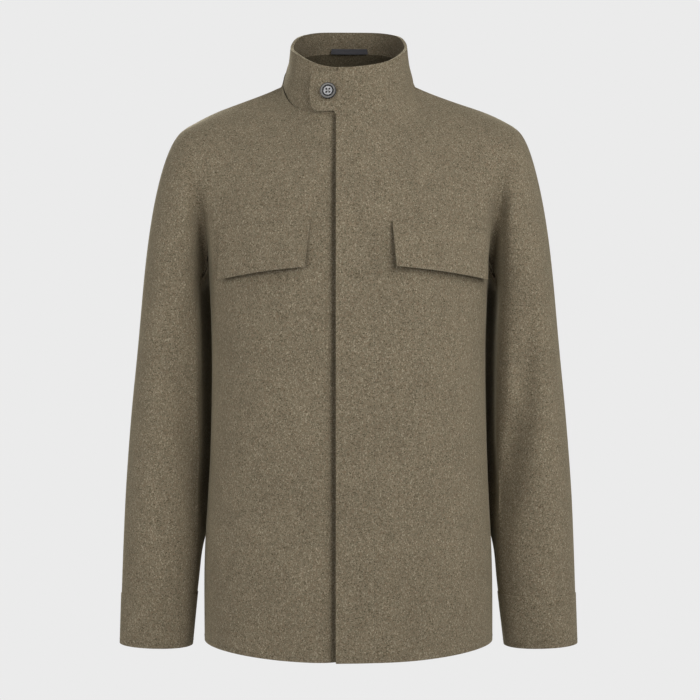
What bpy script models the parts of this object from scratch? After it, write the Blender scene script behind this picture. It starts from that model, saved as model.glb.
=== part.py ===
"""A stand-collar overshirt in brushed wool, filled out as if worn, with nobody in it.

Each cut piece is a closed cloth wall of its own: two fronts, back, placket strip, collar with its button tab, two
sleeves, two cuffs, two chest flaps, neck tape and button. Neck, hem and cuffs are open and the inside is hollow.

Frame, in metres: +X is the wearer's left, the front faces -Y, +Z is up. The origin is the centre of the neck opening
at the height of the two neck-to-shoulder points, where a wearer would carry the garment.
"""
import math
from typing import NamedTuple

import bmesh
import bpy
import numpy as np
from mathutils import Matrix, Vector

# Driving dimensions
SEAM_GAP = 0.0003
BODY_CLOTH = 0.0020
SLEEVE_CLOTH = 0.0020
PLACKET_CLOTH = 0.0030
COLLAR_CLOTH = 0.0036
CUFF_CLOTH = 0.0034
FLAP_CLOTH = 0.0030
FLAP_SEAM_CLOTH = 0.0013
FLAP_FULL_CLOTH_SHARE = 0.35
TAPE_CLOTH = 0.0006

UNDERARM_Z = -0.240
HEM_Z = -0.699
HEM_FRONT_DIP = 0.0095

PLACKET_EDGE_X = -0.0149
PLACKET_SEAM_X = 0.0323
PLACKET_EDGE_LIFT = 0.0022
UNDERLAP_X = 0.0120
UNDERLAP_SINK = 0.0034
UNDERLAP_END_SINK = 0.0046
UNDERLAP_SINK_START_X = -0.044

NECK_HALF_WIDTH = 0.083
SHOULDER_TIP = (0.205, 0.0, -0.0525)
UNDERARM_X = 0.1765
ARMHOLE_FRONT_REACH = 0.068
ARMHOLE_BACK_REACH = 0.062
ARMHOLE_BEND_Z = -0.178

CUFF_TOP_Z = -0.6415
CUFF_BOTTOM_Z = -0.7060
CUFF_STEP = 0.0008
SLEEVE_TRUNK_GAP = 0.0018
SLEEVE_GAP_OPEN_Y = -0.012
SLEEVE_GAP_CLOSED_Y = 0.028

COLLAR_RIGHT_END_X = 0.008
COLLAR_LEFT_END_X = -0.012
COLLAR_RIGHT_LEVEL = -0.0028
COLLAR_LEFT_LEVEL = 0.0013

TAB_TOP_Z = 0.0066
TAB_BOTTOM_Z = -0.0420
TAB_END_X = -0.0430
TAB_END_BULGE = 0.0030
TAB_END_LIFT = 0.0022
TAB_CORNER = 0.0015

BUTTON_X = -0.0241
BUTTON_Z = -0.0183
BUTTON_DIAMETER = 0.0202
BUTTON_THICKNESS = 0.0036
BUTTON_HOLE_DIAMETER = 0.0019
BUTTON_HOLE_SPREAD = 0.0024
BUTTON_STAND_OFF = 0.0009

TAPE_RIGHT_X = -0.0220
TAPE_LEFT_X = 0.0235
TAPE_BOTTOM_Z = 0.0516
TAPE_TOP_Z = 0.0584
TAPE_STAND_OFF = 0.0005

# Grid sizes
LOWER_ROWS = 11
UPPER_ROWS = 12
SHOULDER_COLUMNS = 9
LEFT_NECK_COLUMNS = 6
RIGHT_NECK_COLUMNS = 9
BACK_NECK_COLUMNS = 8
PLACKET_COLUMNS = 3
SLEEVE_CAP_ROWS = 7
SLEEVE_TUBE_ROWS = 9
COLLAR_ROWS = 5
CUFF_ROWS = 2
TAPE_COLUMNS = 6


class BodySection(NamedTuple):
    """A level section of the body: a superellipse with a front and a back depth."""

    z: float
    half_width: float
    front: float
    back: float
    squareness: float


class SleeveSection(NamedTuple):
    """A level section of the left sleeve, with its reach away from the trunk and towards it.

    front_gap is how far its front stands off the trunk's widest side, so that a deep shadow shows between them.
    """

    z: float
    centre_x: float
    centre_y: float
    outer_reach: float
    inner_reach: float
    half_depth: float
    squareness: float
    front_gap: float


class ShoulderPoint(NamedTuple):
    """The shoulder line seen from the front."""

    x: float
    z: float


class CollarStation(NamedTuple):
    """Heights of the neck seam and of the collar's rim at a plan angle from the centre front, +X at +90 degrees."""

    angle: float
    seam_z: float
    rim_z: float


class FlapEdge(NamedTuple):
    """The flap's upper or lower edge: its height and x at the inner and outer end, on the +X side."""

    inner_x: float
    inner_z: float
    middle_z: float
    outer_x: float
    outer_z: float


class TabColumn(NamedTuple):
    """A column of the tab between the collar's end and its own: its x and the height of its lower edge."""

    x: float
    bottom_z: float


class Fold(NamedTuple):
    """A soft trough pressed into a sleeve: its course around the tube (0 outer side, 90 front) and down it."""

    top_z: float
    bottom_z: float
    top_angle: float
    bottom_angle: float
    half_width_angle: float
    depth: float


BODY_SECTIONS = (
    BodySection(-0.705, 0.1820, 0.1350, 0.1250, 2.40),
    BodySection(-0.600, 0.1806, 0.1330, 0.1220, 2.45),
    BodySection(-0.500, 0.1758, 0.1315, 0.1190, 2.50),
    BodySection(-0.400, 0.1732, 0.1315, 0.1200, 2.60),
    BodySection(-0.310, 0.1730, 0.1330, 0.1260, 2.70),
    BodySection(-0.240, 0.1765, 0.1340, 0.1320, 2.70),
)

SLEEVE_SECTIONS = (
    SleeveSection(-0.7060, 0.2432, -0.006, 0.0459, 0.0459, 0.0425, 2.20, 0.000),
    SleeveSection(-0.6415, 0.2391, -0.006, 0.0481, 0.0481, 0.0470, 2.20, 0.000),
    SleeveSection(-0.6010, 0.2370, -0.006, 0.0490, 0.0503, 0.0500, 2.20, 0.004),
    SleeveSection(-0.5700, 0.2352, -0.005, 0.0498, 0.0565, 0.0530, 2.15, 0.011),
    SleeveSection(-0.5240, 0.2330, -0.004, 0.0502, 0.0630, 0.0560, 2.10, 0.018),
    SleeveSection(-0.4700, 0.2296, -0.002, 0.0500, 0.0620, 0.0590, 2.10, 0.018),
    SleeveSection(-0.4000, 0.2250, 0.000, 0.0490, 0.0590, 0.0630, 2.10, 0.014),
    SleeveSection(-0.3300, 0.2214, 0.001, 0.0455, 0.0550, 0.0680, 2.10, 0.013),
    SleeveSection(-0.2700, 0.2192, 0.001, 0.0424, 0.0500, 0.0710, 2.15, 0.013),
)

SHOULDER_LINE = (
    ShoulderPoint(0.083, 0.0000),
    ShoulderPoint(0.096, -0.0055),
    ShoulderPoint(0.133, -0.0190),
    ShoulderPoint(0.172, -0.0345),
    ShoulderPoint(0.205, -0.0525),
)

COLLAR_STATIONS = (
    CollarStation(-225.0, 0.044, 0.0745),
    CollarStation(-180.0, 0.052, 0.0795),
    CollarStation(-135.0, 0.044, 0.0745),
    CollarStation(-112.0, 0.025, 0.0650),
    CollarStation(-90.0, 0.002, 0.0480),
    CollarStation(-60.0, -0.028, 0.0330),
    CollarStation(-40.0, -0.041, 0.0215),
    CollarStation(-20.0, -0.047, 0.0135),
    CollarStation(0.0, -0.049, 0.0110),
    CollarStation(20.0, -0.047, 0.0150),
    CollarStation(40.0, -0.041, 0.0215),
    CollarStation(60.0, -0.028, 0.0330),
    CollarStation(90.0, 0.002, 0.0500),
    CollarStation(112.0, 0.025, 0.0660),
    CollarStation(135.0, 0.044, 0.0745),
    CollarStation(180.0, 0.052, 0.0795),
    CollarStation(225.0, 0.044, 0.0745),
)

TAB_COLUMNS = (
    TabColumn(-0.0128, -0.0470),
    TabColumn(-0.0155, -0.0420),
    TabColumn(-0.0250, -0.0420),
    TabColumn(-0.0350, -0.0420),
)

LEFT_FLAP_TOP = FlapEdge(0.0526, -0.1800, -0.1815, 0.1700, -0.1870)
LEFT_FLAP_BOTTOM = FlapEdge(0.0568, -0.2350, -0.2400, 0.1652, -0.2475)
RIGHT_FLAP_TOP = FlapEdge(0.0460, -0.1800, -0.1815, 0.1560, -0.1885)
RIGHT_FLAP_BOTTOM = FlapEdge(0.0519, -0.2360, -0.2410, 0.1545, -0.2490)
FLAP_ROW_SHARES = (0.0, 0.10, 0.35, 0.70, 1.0)
FLAP_CLEARANCE = 0.0006
FLAP_OUTER_CLEARANCE = 0.0021
FLAP_EDGE_LIFT = 0.0034
FLAP_INNER_LIFT = 0.0012
FLAP_INNER_LIFT_REACH = 0.25

ELBOW_FOLDS = (
    Fold(-0.250, -0.470, 62.0, 118.0, 26.0, 0.0040),
    Fold(-0.420, -0.600, 150.0, 105.0, 22.0, 0.0026),
    Fold(-0.300, -0.520, 285.0, 245.0, 26.0, 0.0036),
)

NECK_FRONT = 0.088
NECK_BACK = 0.072
NECK_SQUARENESS = 2.3
RIM_HALF_WIDTH = 0.074
RIM_FRONT = 0.078
RIM_BACK = 0.070
COLLAR_FLARE = 0.0045

NECK_FRONT_DIRECTION = np.array((0.0, 0.30, 0.95))
NECK_BACK_DIRECTION = np.array((0.0, -0.28, 0.96))
NECK_SIDE_FRONT_DIRECTION = np.array((-0.10, 0.72, 0.68))
NECK_SIDE_BACK_DIRECTION = np.array((-0.15, -0.88, 0.42))
SHOULDER_FRONT_DIRECTION = np.array((0.0, 0.82, 0.57))
SHOULDER_BACK_DIRECTION = np.array((0.0, -0.88, 0.46))
NECK_SIDE_REACH = 0.6
NECK_TURN_START = 20.0
CHEST_HANDLE = 0.45
SHOULDER_HANDLE = 0.27
ARMHOLE_PULL_POWER = 1.8
CAP_TOP_DIRECTION = np.array((0.966, 0.0, -0.259))
CAP_FRONT_DIRECTION = np.array((0.62, -0.30, -0.72))
CAP_UNDER_DIRECTION = np.array((0.12, 0.0, -0.993))
CAP_TOP_FULLNESS = 0.029
CAP_UNDER_FULLNESS = 0.014
CAP_END_HANDLE = 0.51
CAP_END_SWELL = 0.04
CAP_ROW_POWER = 1.15
EVENED_SHOULDER_COLUMNS = 6
EVENING_FADE_ROWS = 3.0
EVENING_ROUNDS = 10
EVENING_SHARE = 0.6
CHEST_SPLIT_X = 0.088

WOOL = (0.186, 0.157, 0.107)
BUTTON_GREY = (0.330, 0.325, 0.330)
TAPE_NAVY = (0.022, 0.020, 0.027)


# Small mathematics
def unit(vectors):
    """Return vectors scaled to length one along their last axis."""
    vectors = np.asarray(vectors, dtype=float)
    return vectors / np.linalg.norm(vectors, axis=-1, keepdims=True)


def ease(value):
    """Return a smooth step from 0 to 1 for a value that runs from 0 to 1."""
    value = np.clip(value, 0.0, 1.0)
    return value * value * (3.0 - 2.0 * value)


def signed_power(value, exponent):
    """Return |value| to the exponent with the sign of the value."""
    return np.sign(value) * np.abs(value) ** exponent


def read_table(table, key):
    """Return a row of a table at a key between its rows, smoothly interpolated in every column."""
    rows = np.array(table, dtype=float)
    keys = rows[:, 0]
    slopes = np.gradient(rows, keys, axis=0)
    index = int(np.clip(np.searchsorted(keys, key) - 1, 0, len(keys) - 2))
    span = keys[index + 1] - keys[index]
    t = min(max((key - keys[index]) / span, 0.0), 1.0)
    start_weight = 2 * t**3 - 3 * t**2 + 1
    end_weight = 1 - start_weight
    start_slope = (t**3 - 2 * t**2 + t) * span
    end_slope = (t**3 - t**2) * span
    values = (
        start_weight * rows[index]
        + end_weight * rows[index + 1]
        + start_slope * slopes[index]
        + end_slope * slopes[index + 1]
    )
    return type(table[0])(*values)


def bezier(start, start_handle, end_handle, end, t):
    """Return a point of a cubic Bezier curve."""
    s = 1.0 - t
    return s**3 * start + 3 * s**2 * t * start_handle + 3 * s * t**2 * end_handle + t**3 * end


# Body: lower sections and the upper surface that turns over the shoulder
def section_curve(z, face):
    """Return a fine polyline of the left half of a body section, from past the centre line to the side seam.

    face is -1 for the front and +1 for the back.
    """
    section = read_table(BODY_SECTIONS, z)
    depth = section.front if face < 0 else section.back
    angles = np.radians(np.linspace(-20.0, 90.0, 331))
    power = 2.0 / section.squareness
    x = section.half_width * signed_power(np.sin(angles), power)
    share = np.clip(np.cos(angles), 0.0, 1.0) ** power
    dip = HEM_FRONT_DIP * share**3 if face < 0 else 0.0 * share
    reach = (z - UNDERARM_Z) / (HEM_Z - UNDERARM_Z)
    return np.stack((x, face * depth * share, z - dip * reach), axis=1)


def arc_lengths(curve):
    """Return the running length along a polyline."""
    steps = np.linalg.norm(np.diff(curve, axis=0), axis=1)
    return np.concatenate(((0.0,), np.cumsum(steps)))


def section_points(z, face, start_x, fractions):
    """Return points of a section at fractions of its arc from start_x to the side seam."""
    curve = section_curve(z, face)
    lengths = arc_lengths(curve)
    start = np.interp(start_x, curve[:, 0], lengths)
    wanted = start + np.asarray(fractions) * (lengths[-1] - start)
    return np.stack([np.interp(wanted, lengths, curve[:, axis]) for axis in range(3)], axis=1)


def section_at_x(z, face, xs):
    """Return the points of a section at given x near the centre line."""
    curve = section_curve(z, face)
    xs = np.asarray(xs)
    return np.stack((xs, np.interp(xs, curve[:, 0], curve[:, 1]), np.interp(xs, curve[:, 0], curve[:, 2])), axis=1)


def neck_point(angle):
    """Return the point of the neck seam at a plan angle from the centre front."""
    radians = math.radians(angle)
    power = 2.0 / NECK_SQUARENESS
    depth = NECK_FRONT if math.cos(radians) > 0 else NECK_BACK
    x = NECK_HALF_WIDTH * signed_power(math.sin(radians), power)
    y = -depth * signed_power(math.cos(radians), power)
    return np.array((x, y, read_table(COLLAR_STATIONS, angle).seam_z))


def neck_angle_at(x):
    """Return the plan angle of the front neck seam at x."""
    return math.degrees(math.asin(signed_power(x / NECK_HALF_WIDTH, NECK_SQUARENESS / 2.0)))


def shoulder_point(fraction):
    """Return a point of the shoulder seam, from the neck at 0 to the shoulder tip at 1."""
    x = NECK_HALF_WIDTH + fraction * (SHOULDER_TIP[0] - NECK_HALF_WIDTH)
    return np.array((x, 0.0, read_table(SHOULDER_LINE, x).z))


def armhole_point(angle, face):
    """Return a point of the left armhole: 0 degrees at the shoulder tip, 180 under the arm."""
    radians = math.radians(angle)
    middle = (SHOULDER_TIP[2] + UNDERARM_Z) / 2
    z = middle + (SHOULDER_TIP[2] - middle) * math.cos(radians)
    reach = ARMHOLE_FRONT_REACH if face < 0 else ARMHOLE_BACK_REACH
    bend = ease((z - ARMHOLE_BEND_Z) / (SHOULDER_TIP[2] - ARMHOLE_BEND_Z))
    x = UNDERARM_X + (SHOULDER_TIP[0] - UNDERARM_X) * float(bend)
    return np.array((x, face * reach * math.sin(radians), z))


def armhole_outward(angle, face):
    """Return the direction in the armhole's plane that points away from its centre."""
    radians = math.radians(angle)
    return unit((0.0, face * math.sin(radians), math.cos(radians)))


def lower_levels():
    """Return the heights of the body's rows from the hem to the underarm."""
    return np.linspace(HEM_Z, UNDERARM_Z, LOWER_ROWS + 1)


def upper_column(bottom, top, direction):
    """Return the points of a column above the underarm, from its second row to its top point."""
    chord = np.linalg.norm(top - bottom)
    first = bottom + np.array((0.0, 0.0, CHEST_HANDLE * chord))
    second = top - unit(direction) * SHOULDER_HANDLE * chord
    return [bezier(bottom, first, second, top, row / UPPER_ROWS) for row in range(1, UPPER_ROWS + 1)]


def neck_direction(angle, face):
    """Return the way a column runs as it meets the left half of the neck seam."""
    middle = NECK_FRONT_DIRECTION if face < 0 else NECK_BACK_DIRECTION
    side = NECK_SIDE_FRONT_DIRECTION if face < 0 else NECK_SIDE_BACK_DIRECTION
    away = abs(angle) if face < 0 else 180.0 - abs(angle)
    return unit(middle + (side - middle) * ease((away - NECK_TURN_START) / (90.0 - NECK_TURN_START)))


def shoulder_direction(fraction, face):
    """Return the way a column runs as it meets the shoulder seam, from the neck at 0 to the tip at 1."""
    side = NECK_SIDE_FRONT_DIRECTION if face < 0 else NECK_SIDE_BACK_DIRECTION
    shoulder = SHOULDER_FRONT_DIRECTION if face < 0 else SHOULDER_BACK_DIRECTION
    return unit(side + (shoulder - side) * ease(fraction / NECK_SIDE_REACH))


def strip_grid(xs):
    """Return the front surface along upright lines at given x near the centre, rows from hem to neck seam."""
    rows = [section_at_x(z, -1, xs) for z in lower_levels()]
    columns = []
    for column, x in enumerate(xs):
        angle = neck_angle_at(x)
        columns.append(upper_column(rows[-1][column], neck_point(angle), neck_direction(angle, -1)))
    rows.extend(np.stack(row) for row in zip(*columns))
    return np.stack(rows)


def half_grid(face, start_x, neck_columns):
    """Return the surface of half a front or back on the +X side.

    Rows run from the hem to the top, columns from start_x to the side seam and armhole.
    """
    probe = section_curve(UNDERARM_Z, face)
    lengths = arc_lengths(probe)
    start, split = np.interp((start_x, CHEST_SPLIT_X), probe[:, 0], lengths)
    share = (split - start) / (lengths[-1] - start)
    fractions = np.concatenate(
        (
            np.linspace(0.0, share, neck_columns + 1),
            np.linspace(share, 1.0, SHOULDER_COLUMNS + 1)[1:],
        )
    )
    rows = [section_points(z, face, start_x, fractions) for z in lower_levels()]
    if face < 0:
        angles = np.linspace(neck_angle_at(start_x), 90.0, neck_columns + 1)
    else:
        angles = np.linspace(180.0, 90.0, neck_columns + 1)
    columns = []
    for column in range(neck_columns):
        columns.append(upper_column(rows[-1][column], neck_point(angles[column]), neck_direction(angles[column], face)))
    for step in range(SHOULDER_COLUMNS + 1):
        fraction = step / SHOULDER_COLUMNS
        bottom = rows[-1][neck_columns + step]
        columns.append(upper_column(bottom, shoulder_point(fraction), shoulder_direction(fraction, face)))
    edge = columns[-1]
    for row in range(UPPER_ROWS):
        angle = 180.0 * (1.0 - (row + 1) / UPPER_ROWS)
        pull = armhole_point(angle, face) - edge[row]
        for step in range(1, SHOULDER_COLUMNS + 1):
            columns[neck_columns + step][row] = (
                columns[neck_columns + step][row] + pull * (step / SHOULDER_COLUMNS) ** ARMHOLE_PULL_POWER
            )
    rows.extend(np.stack(row) for row in zip(*columns))
    return np.stack(rows)


def evened(grid, first, last):
    """Return a grid whose rows above the underarm run without troughs between two of its columns.

    The evening fades out towards the top row and towards both columns, which stay as they are.
    """
    grid = grid.copy()
    rows = np.arange(LOWER_ROWS - 2, len(grid) - 1)
    low_share = ease((rows - LOWER_ROWS + 3) / EVENING_FADE_ROWS)
    high_share = ease((len(grid) - 1 - rows) / EVENING_FADE_ROWS)
    share = EVENING_SHARE * (low_share * high_share)[:, None, None]
    for _round in range(EVENING_ROUNDS):
        before = grid[rows, first - 1 : last - 1]
        here = grid[rows, first:last]
        after = grid[rows, first + 1 : last + 1]
        gap_before = np.linalg.norm(here - before, axis=2, keepdims=True)
        gap_after = np.linalg.norm(after - here, axis=2, keepdims=True)
        between = (before * gap_after + after * gap_before) / (gap_before + gap_after)
        grid[rows, first:last] = here + (between - here) * share
    return grid


def grid_normals(grid, outward, wraps=False):
    """Return unit normals of a grid of points, turned to the side that outward(point) points to."""
    if wraps:
        padded = np.concatenate((grid[:, -1:], grid, grid[:, :1]), axis=1)
        across = np.gradient(padded, axis=1)[:, 1:-1]
    else:
        across = np.gradient(grid, axis=1)
    along = np.gradient(grid, axis=0)
    normals = unit(np.cross(across, along))
    middle = grid[grid.shape[0] // 2, grid.shape[1] // 2]
    sample = normals[grid.shape[0] // 2, grid.shape[1] // 2]
    return normals if float(np.dot(sample, outward(middle))) > 0 else -normals


def away_from_axis(point):
    """Return the horizontal direction from the body's axis to a point."""
    return unit((point[0], point[1], 0.0))


def facing_forward(normals):
    """Return normals with no sideways part, for a wall that ends in an upright seam."""
    return unit(normals * np.array((0.0, 1.0, 1.0)))


def levelled(normals):
    """Return the horizontal parts of normals, at length one."""
    return unit(normals * np.array((1.0, 1.0, 0.0)))


def mirror(grid):
    """Return a copy of a grid mirrored to the -X side."""
    return grid * np.array((-1.0, 1.0, 1.0))


def pulled_in(grid, edge):
    """Return a grid with one border moved half a seam gap towards its neighbours.

    edge is first_row, last_row, first_column or last_column.
    """
    grid = grid.copy()
    border, neighbour = {
        "first_row": ((0, slice(None)), (1, slice(None))),
        "last_row": ((-1, slice(None)), (-2, slice(None))),
        "first_column": ((slice(None), 0), (slice(None), 1)),
        "last_column": ((slice(None), -1), (slice(None), -2)),
    }[edge]
    grid[border] += unit(grid[neighbour] - grid[border]) * SEAM_GAP / 2
    return grid


class Panel(NamedTuple):
    """The outer points of a cloth panel and the outward directions of its wall."""

    points: np.ndarray
    normals: np.ndarray


def body_panels():
    """Return the left half front, the right half front (on the +X side, to be mirrored) and the back half."""
    left = half_grid(-1, PLACKET_SEAM_X, LEFT_NECK_COLUMNS)
    left = evened(left, 1, LEFT_NECK_COLUMNS + EVENED_SHOULDER_COLUMNS)
    right = half_grid(-1, -UNDERLAP_X, RIGHT_NECK_COLUMNS)
    right = evened(right, RIGHT_NECK_COLUMNS - LEFT_NECK_COLUMNS + 1, RIGHT_NECK_COLUMNS + EVENED_SHOULDER_COLUMNS)
    back = half_grid(1, 0.0, BACK_NECK_COLUMNS)
    back = evened(back, 1, BACK_NECK_COLUMNS + EVENED_SHOULDER_COLUMNS)
    whole_back = np.concatenate((mirror(back)[:, :0:-1], back), axis=1)
    left_normals = grid_normals(left, away_from_axis)
    right_normals = grid_normals(right, away_from_axis)
    back_normals = grid_normals(whole_back, away_from_axis)[:, back.shape[1] - 1:]
    left_normals[:, 0] = facing_forward(left_normals[:, 0])
    for face, normals in ((-1, left_normals), (-1, right_normals), (1, back_normals)):
        for row in range(UPPER_ROWS + 1):
            outward = armhole_outward(180.0 * (1.0 - row / UPPER_ROWS), face)
            normals[LOWER_ROWS + row, -1] = unit(outward + normals[LOWER_ROWS + row, -1])
    shared = []
    for normals in (left_normals, right_normals):
        side = unit(normals[:LOWER_ROWS, -1] + back_normals[:LOWER_ROWS, -1])
        top = unit(normals[-1, -SHOULDER_COLUMNS - 1:] + back_normals[-1, -SHOULDER_COLUMNS - 1:])
        shared.append((side, top))
    for normals, (side, top) in zip((left_normals, right_normals), shared):
        normals[:LOWER_ROWS, -1] = side
        normals[-1, -SHOULDER_COLUMNS - 1:] = top
    back_normals[:LOWER_ROWS, -1] = shared[0][0]
    back_normals[-1, -SHOULDER_COLUMNS - 1:] = shared[0][1]
    return Panel(left, left_normals), Panel(right, right_normals), Panel(back, back_normals)


def underlap_sink(x):
    """Return how far the right front sinks beneath the placket at x, zero well to the wearer's right."""
    covered = np.clip((x - PLACKET_EDGE_X) / (UNDERLAP_X - PLACKET_EDGE_X), 0.0, 1.0)
    towards = ease((x - UNDERLAP_SINK_START_X) / (PLACKET_EDGE_X - UNDERLAP_SINK_START_X))
    return UNDERLAP_SINK * towards + (UNDERLAP_END_SINK - UNDERLAP_SINK) * covered


# Sleeves
def trunk_side_x(y, z):
    """Return how far the trunk's side stands out at y and z, at or below the underarm."""
    section = read_table(BODY_SECTIONS, min(z, UNDERARM_Z))
    depth = section.front if y < 0 else section.back
    share = min(abs(y) / depth, 1.0)
    return section.half_width * (1.0 - share**section.squareness) ** (1.0 / section.squareness)


def tube_point(section, angle, depth=0.0):
    """Return a point of a sleeve section: 0 degrees at its outer side, 90 at its front.

    Where the sleeve would press into the trunk, it lies along the trunk's side instead, and towards the front it
    stands off it.
    """
    radians = math.radians(angle)
    power = 2.0 / section.squareness
    reach = section.outer_reach if math.cos(radians) > 0 else section.inner_reach
    x = section.centre_x + (reach - depth) * signed_power(math.cos(radians), power)
    y = section.centre_y - (section.half_depth - depth) * signed_power(math.sin(radians), power)
    beside = trunk_side_x(y, section.z) + SLEEVE_TRUNK_GAP
    off = trunk_side_x(0.0, section.z) + section.front_gap
    opened = float(ease((SLEEVE_GAP_CLOSED_Y - y) / (SLEEVE_GAP_CLOSED_Y - SLEEVE_GAP_OPEN_Y)))
    return np.array((max(x, beside + (off - beside) * opened), y, section.z))


def fold_depth(z, angle):
    """Return how deep the elbow's soft folds press the sleeve in at a height and an angle around it."""
    total = 0.0
    for fold in ELBOW_FOLDS:
        down = (fold.top_z - z) / (fold.top_z - fold.bottom_z)
        if 0.0 < down < 1.0:
            course = fold.top_angle + (fold.bottom_angle - fold.top_angle) * down
            aside = (angle - course) / fold.half_width_angle
            total += fold.depth * math.sin(math.pi * down) * math.exp(-aside * aside)
    return total


def sleeve_leaving_direction(angle):
    """Return the way the cap's cloth leaves the armhole: outward at the top, down under the arm."""
    turn = angle if angle <= 180.0 else 360.0 - angle
    face = -1.0 if angle <= 180.0 else 1.0
    front = CAP_FRONT_DIRECTION * (1.0, -face, 1.0)
    if turn <= 90.0:
        return unit(CAP_TOP_DIRECTION + (front - CAP_TOP_DIRECTION) * ease(turn / 90.0))
    return unit(front + (CAP_UNDER_DIRECTION - front) * ease((turn - 90.0) / 90.0))


def sleeve_grid():
    """Return the left sleeve's surface, rows from the armhole to the cuff seam, columns around from the outer side."""
    ring = 2 * UPPER_ROWS
    tube_top = read_table(SLEEVE_SECTIONS, SLEEVE_SECTIONS[-1].z)
    rows = []
    for step in range(SLEEVE_CAP_ROWS):
        t = (step / SLEEVE_CAP_ROWS) ** CAP_ROW_POWER
        row = []
        for column in range(ring):
            angle = 360.0 * column / ring
            face = -1 if angle <= 180.0 else 1
            start = armhole_point(angle if face < 0 else 360.0 - angle, face)
            end = tube_point(tube_top, angle)
            drop = start[2] - end[2]
            under_share = float(ease(min(angle, 360.0 - angle) / 180.0))
            fullness = CAP_TOP_FULLNESS + (CAP_UNDER_FULLNESS - CAP_TOP_FULLNESS) * under_share
            first = start + sleeve_leaving_direction(angle) * fullness
            swell = -CAP_END_SWELL * math.cos(math.radians(angle))
            second = end + np.array((swell, 0.0, CAP_END_HANDLE)) * drop
            row.append(bezier(start, first, second, end, t))
        rows.append(np.stack(row))
    for z in np.linspace(SLEEVE_SECTIONS[-1].z, CUFF_TOP_Z + SEAM_GAP / 2, SLEEVE_TUBE_ROWS + 1):
        section = read_table(SLEEVE_SECTIONS, z)
        angles = [360.0 * column / ring for column in range(ring)]
        rows.append(np.stack([tube_point(section, angle, fold_depth(z, angle)) for angle in angles]))
    return np.stack(rows)


def away_from_sleeve(point):
    """Return the horizontal direction from the left sleeve's axis to a point."""
    section = read_table(SLEEVE_SECTIONS, point[2])
    return unit((point[0] - section.centre_x, point[1] - section.centre_y, 0.0))


def sleeve_panel():
    """Return the left sleeve as a panel whose columns close into a ring."""
    grid = sleeve_grid()
    normals = grid_normals(grid, away_from_sleeve, wraps=True)
    for column in range(grid.shape[1]):
        angle = 360.0 * column / grid.shape[1]
        face = -1 if angle <= 180.0 else 1
        outward = armhole_outward(angle if face < 0 else 360.0 - angle, face)
        normals[0, column] = unit(outward + normals[0, column])
    return Panel(grid, normals)


def cuff_panel():
    """Return the left cuff's outer surface as a closed ring of columns."""
    ring = 2 * UPPER_ROWS
    rows = []
    for z in np.linspace(CUFF_TOP_Z - SEAM_GAP / 2, CUFF_BOTTOM_Z, CUFF_ROWS + 1):
        section = read_table(SLEEVE_SECTIONS, z)
        rows.append(np.stack([tube_point(section, 360.0 * column / ring, -CUFF_STEP) for column in range(ring)]))
    grid = np.stack(rows)
    return Panel(grid, grid_normals(grid, away_from_sleeve, wraps=True))


# Collar
def collar_angle_at(x, t):
    """Return the plan angle at which the front of the collar reaches x at height share t."""
    half_width, _front, _back = collar_ring(t)
    return math.degrees(math.asin(signed_power(x / half_width, NECK_SQUARENESS / 2.0)))


def collar_ring(t):
    """Return the half width, front and back reach of the collar at height share t, 0 at the seam and 1 at the rim."""
    flare = COLLAR_FLARE * (1.0 - t) ** 4
    half_width = RIM_HALF_WIDTH + (NECK_HALF_WIDTH - COLLAR_FLARE - RIM_HALF_WIDTH) * (1.0 - t) + flare
    front = RIM_FRONT + (NECK_FRONT - COLLAR_FLARE - RIM_FRONT) * (1.0 - t) + flare
    back = RIM_BACK + (NECK_BACK - RIM_BACK) * (1.0 - t)
    return half_width, front, back


def collar_level(turn):
    """Return how far the band lies outside its middle ring after a turn in degrees from its right end."""
    return COLLAR_RIGHT_LEVEL + (COLLAR_LEFT_LEVEL - COLLAR_RIGHT_LEVEL) * float(ease((turn - 45.0) / 290.0))


def collar_point(turn, t):
    """Return a point of the collar's outer face.

    The band starts at its right end beneath the tab, passes the wearer's right, the back and the left, and comes
    back over itself. turn is the angle run from the centre front.
    """
    angle = -turn
    wrapped = (angle + 180.0) % 360.0 - 180.0
    station = read_table(COLLAR_STATIONS, wrapped)
    half_width, front, back = collar_ring(t)
    radians = math.radians(angle)
    power = 2.0 / NECK_SQUARENESS
    depth = front if math.cos(radians) > 0 else back
    x = half_width * signed_power(math.sin(radians), power)
    y = -depth * signed_power(math.cos(radians), power)
    outward = unit((x / half_width**2, y / depth**2))
    level = collar_level(turn)
    z = station.seam_z + SEAM_GAP + t * (station.rim_z - station.seam_z)
    return np.array((x + outward[0] * level, y + outward[1] * level, z))


def collar_share(turn, z):
    """Return the height share t at which the collar reaches z."""
    wrapped = (180.0 - turn) % 360.0 - 180.0
    station = read_table(COLLAR_STATIONS, wrapped)
    return (z - SEAM_GAP - station.seam_z) / (station.rim_z - station.seam_z)


def tab_point(x, z):
    """Return the point of the collar's outer layer at x and z in front of the wearer's right collar end.

    The tab stands off the layer beneath it by more and more towards its end.
    """
    t = 0.5
    for _pass in range(4):
        turn = 360.0 - collar_angle_at(x, t)
        t = collar_share(turn, z)
    point = collar_point(turn, t)
    lift = TAB_END_LIFT * ease((COLLAR_LEFT_END_X - x) / (COLLAR_LEFT_END_X - TAB_END_X))
    return point + unit((point[0], point[1], 0.0)) * lift


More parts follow.
